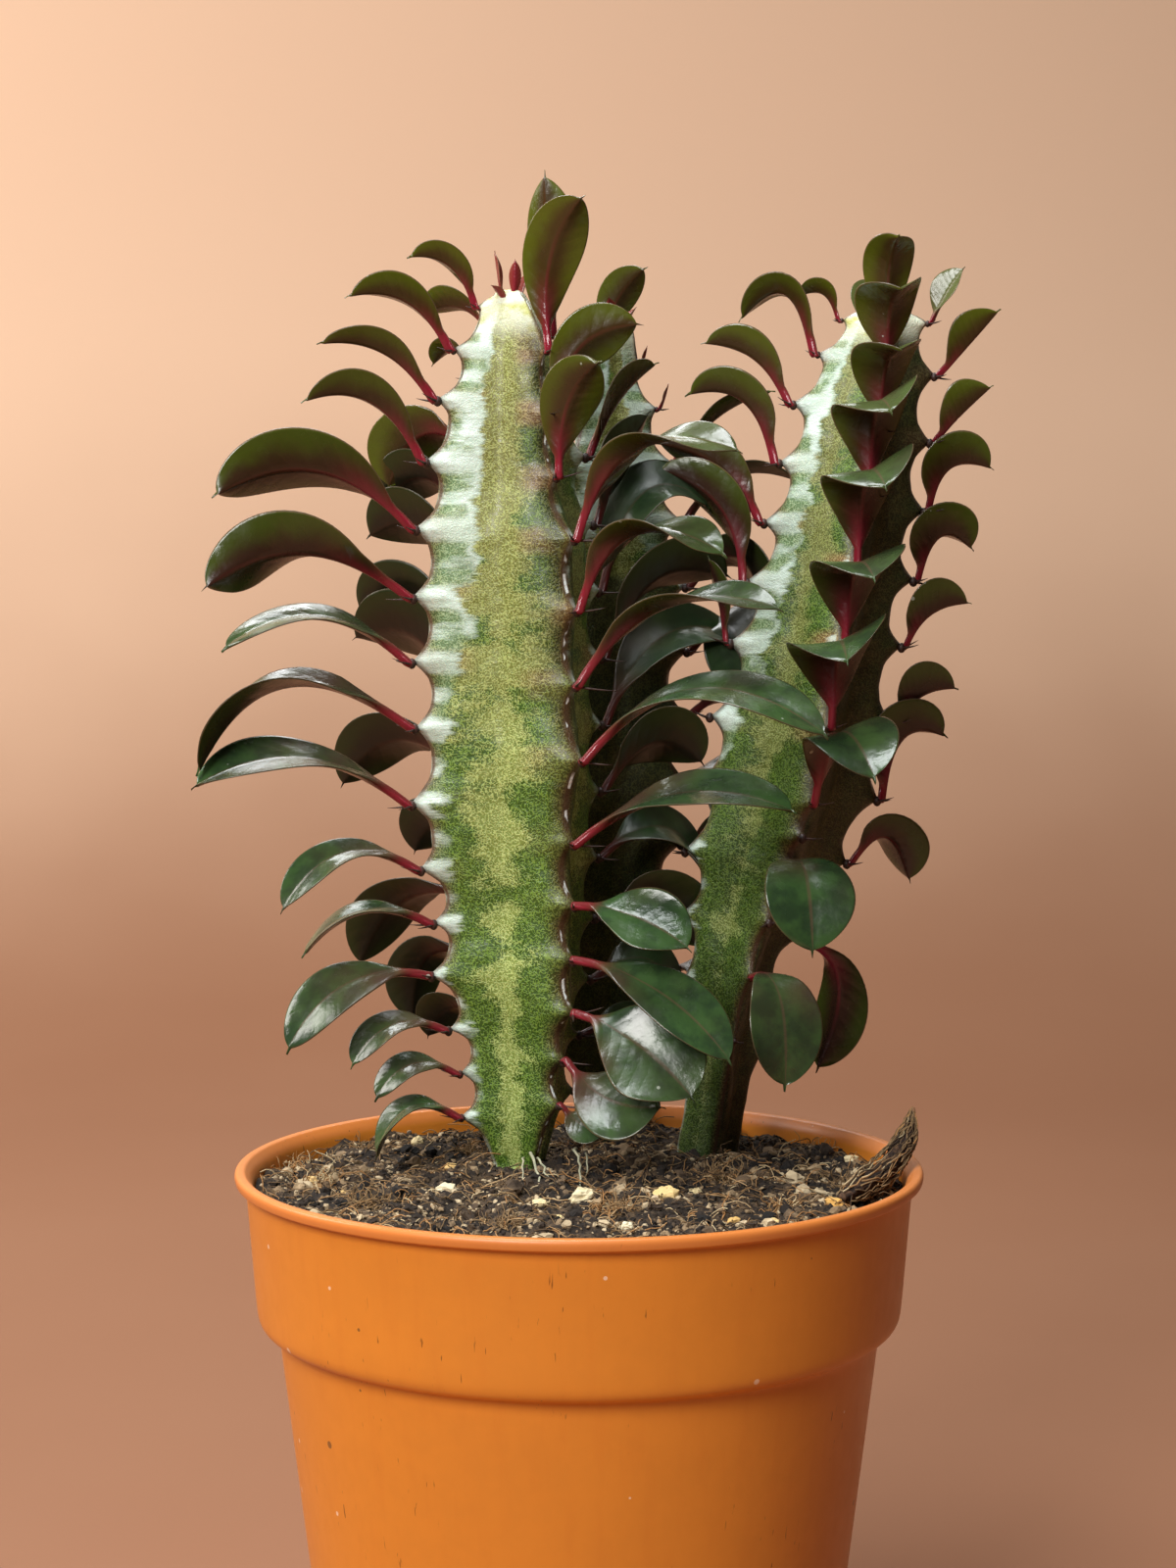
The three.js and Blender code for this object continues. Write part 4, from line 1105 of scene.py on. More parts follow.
def build_soil():
    """The body of soil: its surface, then its side and underside close to the pot's inside."""
    shell = Shell()
    shell.points, shell.faces = soil_surface()
    edge = 1 + (SOIL_RINGS - 1) * SOIL_SIDES
    for radius, height in SOIL_SIDE:
        below = len(shell.points)
        for angle in turns(SOIL_SIDES):
            shell.points.append(Vector((radius * math.cos(angle), radius * math.sin(angle), height)))
        for side in range(SOIL_SIDES):
            following = (side + 1) % SOIL_SIDES
            shell.faces.append((edge + side, below + side, below + following, edge + following))
        edge = below
    shell.faces.append(tuple(edge + side for side in reversed(range(SOIL_SIDES))))
    shell.picks = [0] * len(shell.faces)
    settle(shell.make("soil_body", [soil_finish()]), "potting_soil", "soil")


# ---------------------------------------------------------------- loose litter on the soil

# Over these distances from the pot's wall and from a stem's middle, the litter goes from none to all.
WALL_CLEARANCE = (0.2, 1.2)
STEM_CLEARANCE = (6.5, 9)
# How far from the pot's wall the coarse and the fine bits stay.
COARSE_MARGIN = 3.4
FINE_MARGIN = 0.6
# Bits on each square metre where their setting is 1.
COARSE_DENSITY = 0.085e6
FINE_DENSITY = 1.0e6
GRIT_ROWS = 9
GRIT_SIDES = 12
STRAND_STEPS = 7
STRAND_CURL = 0.5
STRAND_LIMIT = 56.5


def litter_bed(margin):
    """The soil's open surface, on which the litter is scattered, up to a margin from the pot's wall."""
    points, faces = soil_surface()
    mesh = bpy.data.meshes.new("litter_bed")
    mesh.from_pydata([point * MM for point in points], [], faces)
    openness = mesh.attributes.new("open", "FLOAT", "POINT")
    feet = [Vector(stem["path"][0][1:]) for stem in STEMS.values()]
    for index, point in enumerate(points):
        away = math.hypot(point.x, point.y)
        clear = 0 if away > SOIL_RADIUS - margin else ease(SOIL_RADIUS - away, *WALL_CLEARANCE)
        for foot in feet:
            clear *= ease((point.xy - foot).length, *STEM_CLEARANCE)
        openness.data[index].value = clear
    return show("litter_bed", mesh)


def random_share(graph, seed):
    return graph.node("FunctionNodeRandomValue", {"Seed": seed}, data_type="FLOAT").outputs[1]


def scatter_tree(name, sizes, grow):
    """A tree that scatters bits over a surface; grow makes them from the scattered points."""
    tree = bpy.data.node_groups.new(name, "GeometryNodeTree")
    tree.interface.new_socket("Geometry", in_out="OUTPUT", socket_type="NodeSocketGeometry")
    tree.interface.new_socket("Geometry", in_out="INPUT", socket_type="NodeSocketGeometry")
    for size in ["Density"] + sizes:
        tree.interface.new_socket(size, in_out="INPUT", socket_type="NodeSocketFloat")
    tree.interface.new_socket("Seed", in_out="INPUT", socket_type="NodeSocketInt")
    tree.interface.new_socket("Finish", in_out="INPUT", socket_type="NodeSocketMaterial")
    graph = Graph(tree)
    given = graph.node("NodeGroupInput").outputs
    openness = graph.node("GeometryNodeInputNamedAttribute", {"Name": "open"}, data_type="FLOAT").outputs[0]
    density = graph.times(given["Density"], openness)
    inputs = {"Mesh": given["Geometry"], "Density": density, "Seed": given["Seed"]}
    scattered = graph.node("GeometryNodeDistributePointsOnFaces", inputs).outputs["Points"]
    inputs = {"Geometry": scattered, "Name": "tint", "Value": random_share(graph, given["Seed"])}
    marked = graph.node("GeometryNodeStoreNamedAttribute", inputs, data_type="FLOAT", domain="POINT")
    bits = grow(graph, given, marked.outputs[0])
    painted = graph.node("GeometryNodeSetMaterial", {"Geometry": bits, "Material": given["Finish"]})
    graph.feed(graph.node("NodeGroupOutput").inputs[0], painted.outputs[0])
    return tree


def random_vector(graph, low, high, seed):
    inputs = {0: low, 1: high, "Seed": seed}
    return graph.node("FunctionNodeRandomValue", inputs, data_type="FLOAT_VECTOR").outputs[0]


def random_size(graph, given, seed):
    """Mostly small sizes, a few large ones."""
    chance = graph.maths("POWER", random_share(graph, seed), 2.6)
    inputs = {0: chance, 3: given["Smallest"], 4: given["Largest"]}
    return graph.node("ShaderNodeMapRange", inputs).outputs[0]


def copies(graph, points, bit, turn, scale):
    """A copy of the bit at each of the points, as real geometry."""
    inputs = {"Points": points, "Instance": bit, "Rotation": turn, "Scale": scale}
    placed = graph.node("GeometryNodeInstanceOnPoints", inputs).outputs[0]
    return graph.node("GeometryNodeRealizeInstances", {"Geometry": placed}).outputs[0]


def roughen(graph, bits, scale, amount):
    """Moves points by noise, so that no two bits are alike."""
    position = graph.node("GeometryNodeInputPosition").outputs[0]
    texture = graph.node("ShaderNodeTexNoise", {"Vector": position, "Scale": scale, "Detail": 2.0})
    centred = graph.vectors("SUBTRACT", {0: texture.outputs[1], 1: (0.5, 0.5, 0.5)})
    offset = graph.vectors("SCALE", {0: centred, "Scale": amount})
    return graph.node("GeometryNodeSetPosition", {"Geometry": bits, "Offset": offset}).outputs[0]


def crumbs_tree(name, detail):
    """Ragged crumbs, each squashed and turned in its own way."""
    def grow(graph, given, points):
        stone = graph.node("GeometryNodeMeshIcoSphere", {"Radius": 0.5, "Subdivisions": detail}).outputs[0]
        shape = random_vector(graph, (0.6, 0.6, 0.4), (1.35, 1.2, 0.9), 5)
        scale = graph.vectors("SCALE", {0: shape, "Scale": random_size(graph, given, 7)})
        turn = random_vector(graph, (-0.7, -0.7, 0.0), (0.7, 0.7, 6.28), 9)
        return roughen(graph, copies(graph, points, stone, turn, scale), 900.0, given["Raggedness"])

    return scatter_tree(name, ["Smallest", "Largest", "Raggedness"], grow)


def fibres_tree(name):
    """Thin bent fibres that lie on the soil."""
    def grow(graph, given, points):
        bow = {"Resolution": 7, "Start": (0.0, -0.5, 0.0), "Middle": (0.0, 0.0, 0.3), "End": (0.0, 0.5, 0.0)}
        strand = graph.node("GeometryNodeCurveQuadraticBezier", bow).outputs[0]
        length = random_size(graph, given, 11)
        turn = random_vector(graph, (-0.75, -0.5, 0.0), (0.75, 0.5, 6.28), 13)
        bent = roughen(graph, copies(graph, points, strand, turn, length), 240.0, given["Raggedness"])
        inputs = {"Resolution": 4, "Radius": given["Thickness"]}
        outline = graph.node("GeometryNodeCurvePrimitiveCircle", inputs).outputs[0]
        inputs = {"Curve": bent, "Profile Curve": outline, "Fill Caps": True}
        return graph.node("GeometryNodeCurveToMesh", inputs).outputs[0]

    return scatter_tree(name, ["Smallest", "Largest", "Raggedness", "Thickness"], grow)


def scatter(bed, tree, name, **inputs):
    """Runs one scattering tree over the bed and keeps its bits as one plain piece."""
    modifier = bed.modifiers.new(name, "NODES")
    modifier.node_group = tree
    for item in tree.interface.items_tree:
        if item.in_out == "INPUT" and item.name in inputs:
            modifier[item.identifier] = inputs[item.name]
    mesh = baked(bed, name)
    bed.modifiers.remove(modifier)
    settle(show(name, mesh), "potting_soil")


def grit_stone(shell, centre, size, tint, chance):
    """One pale stone with a broken outline."""
    stretch = [chance.uniform(0.8, 1.25), chance.uniform(0.65, 1.0), chance.uniform(0.5, 0.8)]
    spin = Matrix.Rotation(chance.uniform(0, 2 * math.pi), 3, "Z")
    seed = Vector((chance.uniform(0, 50), chance.uniform(0, 50), 0))
    rings = []
    for row in range(GRIT_ROWS):
        lift = math.pi * (row + 0.35) / (GRIT_ROWS + 0.7)
        ring = []
        for angle in turns(GRIT_SIDES):
            away = math.sin(lift)
            out = Vector((away * math.cos(angle), away * math.sin(angle), -math.cos(lift)))
            broken = 1 + 0.42 * noise.noise(out * 1.7 + seed) + 0.16 * noise.noise(out * 5 + seed)
            place = Vector((out.x * stretch[0], out.y * stretch[1], out.z * stretch[2]))
            place *= 0.5 * size * broken
            place.rotate(spin)
            ring.append(centre + place)
        rings.append(ring)
    shell.add_rings(rings, marks=[[(tint, 0, 0)] * GRIT_SIDES] * GRIT_ROWS)


def build_grit():
    """The pale stones that stand out one by one."""
    chance = random.Random(5)
    shell = Shell()
    for x, y, size, yellow in GRIT:
        centre = Vector((x, y, soil_height(x, y) + 0.22 * size))
        grit_stone(shell, centre, size, yellow, chance)
    settle(shell.make("soil_grit", [grit_finish()], "tint", smooth_faces=False), "potting_soil")


def strand_path(start, direction, length, chance):
    """A path that wanders from its start as a dry fibre does."""
    forward = direction.normalized()
    path = [start]
    for _ in range(STRAND_STEPS):
        nudge = Vector([chance.gauss(0, 1) for _ in range(3)]) * STRAND_CURL
        forward = (forward + nudge).normalized()
        path.append(path[-1] + forward * (length / STRAND_STEPS))
    return path


def keep_in_pot(path):
    """Lifts the path's points onto the soil and moves them in from the pot's wall."""
    for point in path:
        point.z = max(point.z, soil_height(point.x, point.y) + 0.05)
        beyond = math.hypot(point.x, point.y) / STRAND_LIMIT
        if beyond > 1:
            point.x /= beyond
            point.y /= beyond


def build_clumps():
    """Matted clumps of dry fibre, and thin loose strands."""
    chance = random.Random(8)
    shell = Shell()
    for x, y, reach, count in FIBRE_CLUMPS:
        tint = chance.uniform(0.45, 0.95)
        for _ in range(2 * count):
            angle = chance.uniform(0, 2 * math.pi)
            away = reach * math.sqrt(chance.random()) * 0.6
            start_x = x + away * math.cos(angle)
            start_y = y + away * math.sin(angle)
            if math.hypot(start_x, start_y) > STRAND_LIMIT - 1.5:
                continue
            start = Vector((start_x, start_y, soil_height(start_x, start_y) - 0.3))
            direction = Vector((chance.gauss(0, 1), chance.gauss(0, 1), abs(chance.gauss(0.3, 0.5))))
            path = strand_path(start, direction, chance.uniform(0.4, 1.1) * reach, chance)
            keep_in_pot(path)
            thick = chance.uniform(0.07, 0.2)
            radii = [thick * (1 - 0.6 * step / STRAND_STEPS) for step in range(STRAND_STEPS + 1)]
            shell.add_tube(path, radii, 4, mark=(clamp(tint + chance.gauss(0, 0.14)), 0, 0))
    settle(shell.make("soil_fibre_clumps", [fibre_finish()], "tint"), "potting_soil")


def build_litter(settings):
    """Everything loose on the soil."""
    bed = litter_bed(COARSE_MARGIN)
    scatter(
        bed, crumbs_tree("Scatter Coarse Crumbs", 2), "soil_coarse_crumbs",
        Density=settings.crumbs * COARSE_DENSITY, Smallest=0.0012, Largest=0.0038, Raggedness=0.0024,
        Seed=settings.seed + 1, Finish=crumb_finish(),
    )
    bpy.data.objects.remove(bed)
    bed = litter_bed(FINE_MARGIN)
    scatter(
        bed, crumbs_tree("Scatter Fine Crumbs", 1), "soil_fine_crumbs",
        Density=settings.crumbs * FINE_DENSITY, Smallest=0.0005, Largest=0.0016, Raggedness=0.0009,
        Seed=settings.seed, Finish=crumb_finish(),
    )
    scatter(
        bed, fibres_tree("Scatter Fibres"), "soil_fibres",
        Density=settings.fibres * FINE_DENSITY, Smallest=0.0018, Largest=0.008, Raggedness=0.0035,
        Thickness=0.00009, Seed=settings.seed + 2, Finish=fibre_finish(),
    )
    bpy.data.objects.remove(bed)
    build_grit()
    build_clumps()


# ---------------------------------------------------------------- stems

ROOT_DEPTH = 26
ROOT_RADIUS = 6.5
ROOT_BLEND = 7
ROOT_RINGS = 9
ROOT_STEP = 2.6
APEX_RADIUS = 3.2
APEX_ROUNDING = 1.2
APEX_RISES = (0.45, 0.8, 1.05, 1.18)
APEX_CURVE = 0.8
TOOTH_SHARE = 0.28
TOOTH_DEPTH = 3.8
HOLLOW_LEAN = 0.9
HOLLOW_ROUNDING = 0.85
# How far the finish takes the skin over the topmost tooth to lie in a hollow.
TIP_VALLEY = 0.3
FURROW_SHARE = 0.62
FACE_HOLLOW = 0.97
FACE_CURVE = 1.7
CREST_ROUNDING = 0.07
MEAN_HOLLOW = 0.6
TOOTH_SPREAD = 0.42
TOOTH_FADE = 2.2
# The skin's unevenness fades where the stem is thinner than this.
STEADY_RADIUS = 6
FACE_STEPS = 20
HEIGHT_STEP = 0.65
# Spines start this far above the soil, and have their full size on ribs that stand this far out.
SPINE_START = 4
FULL_RIB = 14
PAD_ROWS = 7
PAD_SIDES = 8
SPINE_RADII = (0.3, 0.22, 0.16, 0.1, 0.03)
SPINE_LENGTH = {("left_stem", "inner"): 6.2, ("left_stem", "outer"): 4.2}
OTHER_SPINE_LENGTH = 3.8
# How far round from the rib's direction its painted glints reach, in degrees.
GLINT_REACH = 12
# The cream patches' reach at the foot, and between which shares of the height they widen to all of it.
CREAM_AT_FOOT = 0.28
CREAM_WIDENING = (0.36, 0.78)
# Between these heights the face that the other stems hide changes from painted shade to cream patches.
HIDDEN_FACE_TOP = (198, 218)
# How far the cream patches spread from each rib, on the side before it and the side after it, going
# round to the right. Below zero the face has no cream and gets painted shade instead, darkest at -1; a
# value between -0.5 and 0 gives a light painted shade that fades toward the face's middle.
CREAM = {
    "left_stem": {"outer": (0.9, 1.0), "inner": (-0.2, 0.2), "far": (0.4, 0.3), "rear": (0.3, 0.4)},
    "right_stem": {"inner": (0.7, 0.95), "front": (0.25, -1), "outer": (-1, 0.5), "far": (0.35, 0.4)},
    "back_stem": {"inner": (0.7, 0.8), "outer": (1.0, 0.8), "far": (0.7, 0.7)},
}


def middle(stem, height):
    """The point on the stem's middle line at a height."""
    x, y = smooth(stem["path"], height)
    return Vector((x, y, height))


def crest(stem, seats, height):
    """How far a rib's edge stands from the stem's middle, with its teeth and with their mean height."""
    top, foot = seats[0], seats[-1]
    if height >= top[0]:
        share = clamp((stem["apex"] - height) / (stem["apex"] - top[0]))
        edge = APEX_RADIUS + (top[1] - APEX_RADIUS) * share ** APEX_CURVE
        return edge, edge - MEAN_HOLLOW * share * tooth_depth(top[1])
    if height <= foot[0]:
        share = (foot[0] - height) / (foot[0] - stem["ground"])
        edge = mix(foot[1], ROOT_RADIUS + 1, share)
        depth = tooth_depth(foot[1])
        return edge - depth * math.sin(math.pi * min(share, 0.5)), edge - MEAN_HOLLOW * depth
    envelope = smooth(seats, height)[0]
    hollow = math.sin(math.pi * below_seat(seats, height) ** HOLLOW_LEAN) ** HOLLOW_ROUNDING
    depth = tooth_depth(envelope)
    return envelope - depth * hollow, envelope - MEAN_HOLLOW * depth


def tooth_depth(radius):
    """How deep the hollows between teeth are where the rib stands this far out."""
    return min(TOOTH_DEPTH, TOOTH_SHARE * radius)


def below_seat(seats, height):
    """The share of the way down from one leaf seat to the next."""
    above = max(index for index, seat in enumerate(seats) if seat[0] >= height)
    if above == len(seats) - 1:
        return 0.0
    return (seats[above][0] - height) / (seats[above][0] - seats[above + 1][0])


def valley_share(stem, seats, height):
    """0 at a tooth and 1 in the hollow between two."""
    if height >= seats[0][0]:
        return TIP_VALLEY
    if height <= seats[-1][0]:
        return clamp(2 * (seats[-1][0] - height) / (seats[-1][0] - stem["ground"]))
    return 0.5 - 0.5 * math.cos(2 * math.pi * below_seat(seats, height))


def cream_reach(amount, stem, height, hidden):
    """Cream patches are broad near the stem's tip and shrink to a spot at each tooth lower down. A face
    that the other stems hide gets painted shade instead, and no cream, below its tip."""
    share = (height - stem["ground"]) / (stem["apex"] - stem["ground"])
    reach = amount * mix(CREAM_AT_FOOT, 1.0, ease(share, *CREAM_WIDENING))
    return mix(-1, reach, ease(height, *HIDDEN_FACE_TOP)) if hidden else reach


def stem_outline(stem, height):
    """How thick the stem is in its buried part, how far it has turned into that, and how far it closes
    at the tip."""
    depth = stem["ground"] - height
    buried = clamp(depth / ROOT_BLEND)
    taper = ROOT_RADIUS * math.sqrt(max(0, 1 - (max(depth, 0) / (ROOT_DEPTH + 1)) ** 4))
    past_apex = max(height - stem["apex"], 0)
    return taper, buried, math.sqrt(max(0.02, 1 - (past_apex / APEX_ROUNDING) ** 2))


def stem_ring(name, stem, height):
    """The points round the stem at one height, and each one's place on its rib for the finish."""
    ribs = sorted(stem["ribs"].items(), key=lambda entry: entry[1][0])
    above_ground = max(height, stem["ground"])
    crests = [crest(stem, seats, above_ground) for _, (_, seats) in ribs]
    valleys = [valley_share(stem, seats, above_ground) for _, (_, seats) in ribs]
    centre = middle(stem, min(height, stem["apex"]))
    centre.z = height
    taper, buried, closing = stem_outline(stem, height)
    points, marks = [], []
    for index, (rib, (toward, _)) in enumerate(ribs):
        following = (index + 1) % len(ribs)
        gap = (ribs[following][1][0] - toward + 360) % 360
        flat = min(FURROW_SHARE, FACE_HOLLOW * math.cos(math.radians(gap / 2)))
        furrow = flat * 0.5 * (crests[index][1] + crests[following][1])
        # The back stem's face that the other stems hide gets painted shade below its tip.
        hidden = name == "back_stem" and rib == "inner"
        for step in range(FACE_STEPS):
            place = step / FACE_STEPS
            near, side = (index, 1) if place <= 0.5 else (following, 0)
            edge, mean_edge = crests[near]
            from_rib = 2 * min(place, 1 - place)
            soft = math.hypot(from_rib, CREST_ROUNDING) - CREST_ROUNDING
            soft /= math.hypot(1, CREST_ROUNDING) - CREST_ROUNDING
            wing = furrow + (mean_edge - furrow) * (1 - soft) ** FACE_CURVE
            # Each tooth stands out from the face beside it, and only near the edge.
            wing += (edge - mean_edge) * max(0, 1 - from_rib / TOOTH_SPREAD) ** TOOTH_FADE
            radius = mix(wing, taper, buried) * closing
            outward = heading(toward + gap * place)
            point = centre + outward * radius
            wobble = noise.noise(point * 0.09) * 0.5 + noise.noise(point * 0.35) * 0.16
            points.append(point + outward * wobble * min(1, radius / STEADY_RADIUS))
            amount = CREAM[name][ribs[near][0]][side]
            # A light painted shade, strongest at the rib and gone at the face's middle.
            if -0.5 < amount < 0:
                amount *= 1 - from_rib
            marks.append((from_rib, valleys[near], cream_reach(amount, stem, height, hidden)))
    return points, marks


def seat_point(stem, rib, number, gap=0.0):
    """A leaf's seat on the rib's edge, or a gap away from it; seats are counted from the top."""
    toward, seats = stem["ribs"][rib]
    height, radius = seats[number - 1]
    return middle(stem, height) + heading(toward) * (radius + gap)


def add_spines(shell, stem, rib, chance, length):
    """Under each leaf seat: a dark pad with a pair of spines."""
    toward, seats = stem["ribs"][rib]
    out = heading(toward)
    for number in range(1, len(seats) + 1):
        seat = seat_point(stem, rib, number)
        if seat.z < stem["ground"] + SPINE_START:
            continue
        size = clamp(seats[number - 1][1] / FULL_RIB, 0.5, 1)
        pad = seat - out * 0.35 * size - UP * 0.25 * size
        rings = []
        for row in range(PAD_ROWS):
            lift = math.pi * (row + 0.5) / PAD_ROWS
            ring = []
            for angle in turns(PAD_SIDES):
                across = heading(toward + 90) * math.sin(lift) * math.cos(angle) * 0.85
                outward = out * math.sin(lift) * math.sin(angle) * 0.8
                ring.append(pad + (across + outward - UP * math.cos(lift) * 0.95) * size)
            rings.append(ring)
        shell.add_rings(rings, pick=1)
        thick, thinner, *thin = SPINE_RADII
        for side in (-1, 1):
            aim = heading(toward + side * chance.uniform(25, 50)) + UP * chance.uniform(-0.22, 0.25)
            reach = length * chance.uniform(0.75, 1.15) * size
            start = pad + heading(toward + side * 60) * 0.4 * size
            path = [start + aim * reach * t + UP * 0.4 * t * t for t in shares(4)]
            shell.add_tube(path, [thick * size, thinner * size, *thin], 6, pick=1)


def build_stem(name, settings):
    """One stem: a single tube from its buried end over its ribs to the rounded tip, and its spines."""
    stem = STEMS[name]
    ground, apex = stem["ground"], stem["apex"]
    heights = [ground - ROOT_DEPTH + 0.5 + step * ROOT_STEP for step in range(ROOT_RINGS)]
    steps = round((apex - ground + 2) / HEIGHT_STEP)
    heights += [mix(ground - 2, apex, share) for share in shares(steps)]
    heights += [apex + rise for rise in APEX_RISES]
    rings = [stem_ring(name, stem, height) for height in heights]
    shell = Shell()
    shell.add_rings([points for points, _ in rings], marks=[marks for _, marks in rings])
    chance = random.Random(name)
    for rib in stem["ribs"]:
        add_spines(shell, stem, rib, chance, SPINE_LENGTH.get((name, rib), OTHER_SPINE_LENGTH))
    piece = shell.make(name + "_body", [stem_finish(settings), spine_finish()], "ridge")
    mark_painted_glints(piece, name)
    settle(piece, "stem_skin", name)


def mark_painted_glints(piece, name):
    """Marks where the left stem's inner rib has painted highlights: pale glint dashes along its edge."""
    glint = piece.data.attributes.new("wet_edge", "FLOAT", "POINT")
    if name != "left_stem":
        return
    stem = STEMS[name]
    toward = heading(stem["ribs"]["inner"][0])
    for index, vertex in enumerate(piece.data.vertices):
        height = vertex.co.z / MM
        if height < stem["ground"]:
            continue
        offset = vertex.co / MM - middle(stem, height)
        offset.z = 0
        glint.data[index].value = 1 if math.degrees(toward.angle(offset, 3.0)) < GLINT_REACH else 0


# Pale young roots that reach from the left stem's foot into the soil: start, end and thickness.
FOOT_ROOTS = [
    ((-8.6, -1.5, 107), (-6.2, -14, 102.4), 0.32), ((-7.6, -1, 106), (-4.4, -10.5, 102.2), 0.24),
    ((-0.6, 2.5, 107), (0.4, -6.5, 101.8), 0.3), ((1.2, 3.4, 106), (1.4, -3.5, 101.6), 0.2),
    ((-9.8, -1.2, 106), (-9.6, -9, 102), 0.2),
]


def build_foot_roots():
    """The young roots, as thin tubes that bow up and taper toward their ends."""
    chance = random.Random(21)
    shell = Shell()
    for start, end, thick in FOOT_ROOTS:
        path = []
        for t in shares(9):
            point = Vector(start).lerp(Vector(end), t)
            point.z += 1.6 * math.sin(math.pi * t) * (1 - t)
            point += Vector((chance.gauss(0, 0.16), chance.gauss(0, 0.16), chance.gauss(0, 0.1)))
            path.append(point)
        shell.add_tube(path, [thick * (1 - 0.5 * step / 9) for step in range(10)], 6)
    settle(shell.make("foot_roots", [new_root_finish()]), "dry_root")


# ---------------------------------------------------------------- leaves

LEAF_GAP = 0.5
LEAF_ROOT = 0.9
# The age mark of a leaf that gets painted shade.
PAINTED_SHADE_AGE = -0.4
BUD_AGE = 1.6
BUD_WIDTH = 2
LEAF_STEPS = 34
PETIOLE_SHARE = 0.1
PETIOLE_HALF_WIDTH = 0.78
PETIOLE_TAPER = 0.6
BLADE_SWELL = 1.4
BLADE_ROUNDING = 0.65
BLADE_OPEN = 0.42
# A blade's wave as a share of its width, how often it waves, and how far its margins curl.
WAVE_SHARE = (0.012, 0.03)
WAVES = 9.5
CURL = (-0.05, 0.09)
# Leaves shorter than this are thinner, down to the least scale.
FULL_LENGTH = 22
LEAST_SCALE = 0.35
TIP_HALF_WIDTH = 0.22
BRISTLE_REACH = 1.3
STALK_THICKNESS = 0.78
BLADE_THICKNESS = (0.1, 0.34)
GROOVE_DEPTH = 0.16
KEEL_DEPTH = 0.5
MIDRIB_WIDTH = 0.85
MIDRIB_STEPS = 160
TURN_START = 0.3
TURN_LENGTH = 0.6
BLADE_ACROSS = (-1, -0.94, -0.8, -0.6, -0.38, -0.18, -0.06, 0.06, 0.18, 0.38, 0.6, 0.8, 0.94, 1)


def half_width(share, width):
    """Half the blade's width at a share of the leaf's length: a narrow stalk, then a spoon."""
    stalk = PETIOLE_HALF_WIDTH * (1 - PETIOLE_TAPER * share)
    along = (share - PETIOLE_SHARE) / (1 - PETIOLE_SHARE)
    if along <= 0:
        return stalk
    if along >= 1:
        return TIP_HALF_WIDTH
    blade = 0.5 * width * math.sin(math.pi * along ** BLADE_SWELL) ** BLADE_ROUNDING
    return max(stalk if along < 0.8 else TIP_HALF_WIDTH, blade)


def midrib_points(seat, toward, arch, tip):
    """Places along the midrib's curve, and how far along it each one lies."""
    out = heading(toward)
    arch_point = seat + out * arch[0] + UP * arch[1]
    tip_point = seat + out * tip[0] + UP * tip[1]
    first = (arch_point - seat).length
    share = first / (first + (tip_point - arch_point).length)
    pull = (arch_point - seat * (1 - share) ** 2 - tip_point * share ** 2) / (2 * share * (1 - share))
    line = [
        seat * (1 - t) ** 2 + pull * 2 * t * (1 - t) + tip_point * t * t for t in shares(MIDRIB_STEPS)
    ]
    lengths = [0.0]
    for before, after in zip(line, line[1:]):
        lengths.append(lengths[-1] + (after - before).length)
    return line, lengths


def along_line(line, lengths, share):
    """The place and direction at a share of the midrib's length."""
    wanted = clamp(share) * lengths[-1]
    index = 0
    while index < len(lengths) - 2 and lengths[index + 1] < wanted:
        index += 1
    span = lengths[index + 1] - lengths[index]
    point = line[index].lerp(line[index + 1], (wanted - lengths[index]) / span)
    return point, (line[index + 1] - line[index]).normalized()


def blade_shares():
    """Where the leaf's cross sections lie along it, closer together at the tip."""
    return [-0.03] + [1 - (1 - t) ** 1.35 for t in shares(LEAF_STEPS)]


def skin_height(across, half, share, scale, opening, sign):
    """How far the leaf's upper or lower skin stands from its middle: a round stalk that opens into a thin
    blade, with a groove above the midrib and a keel below it."""
    stalk = STALK_THICKNESS * scale * math.sqrt(max(0, 1 - across * across))
    blade = mix(*BLADE_THICKNESS, 1 - abs(across) ** 1.6) * scale
    ridge = math.exp(-(across * half / MIDRIB_WIDTH) ** 2)
    if sign == 1:
        blade -= GROOVE_DEPTH * ridge * scale
    else:
        blade += KEEL_DEPTH * ridge * scale * (1 - 0.8 * clamp(share))
    thick = mix(stalk, blade, opening)
    return min(thick, 0.08) if share > 1 else thick


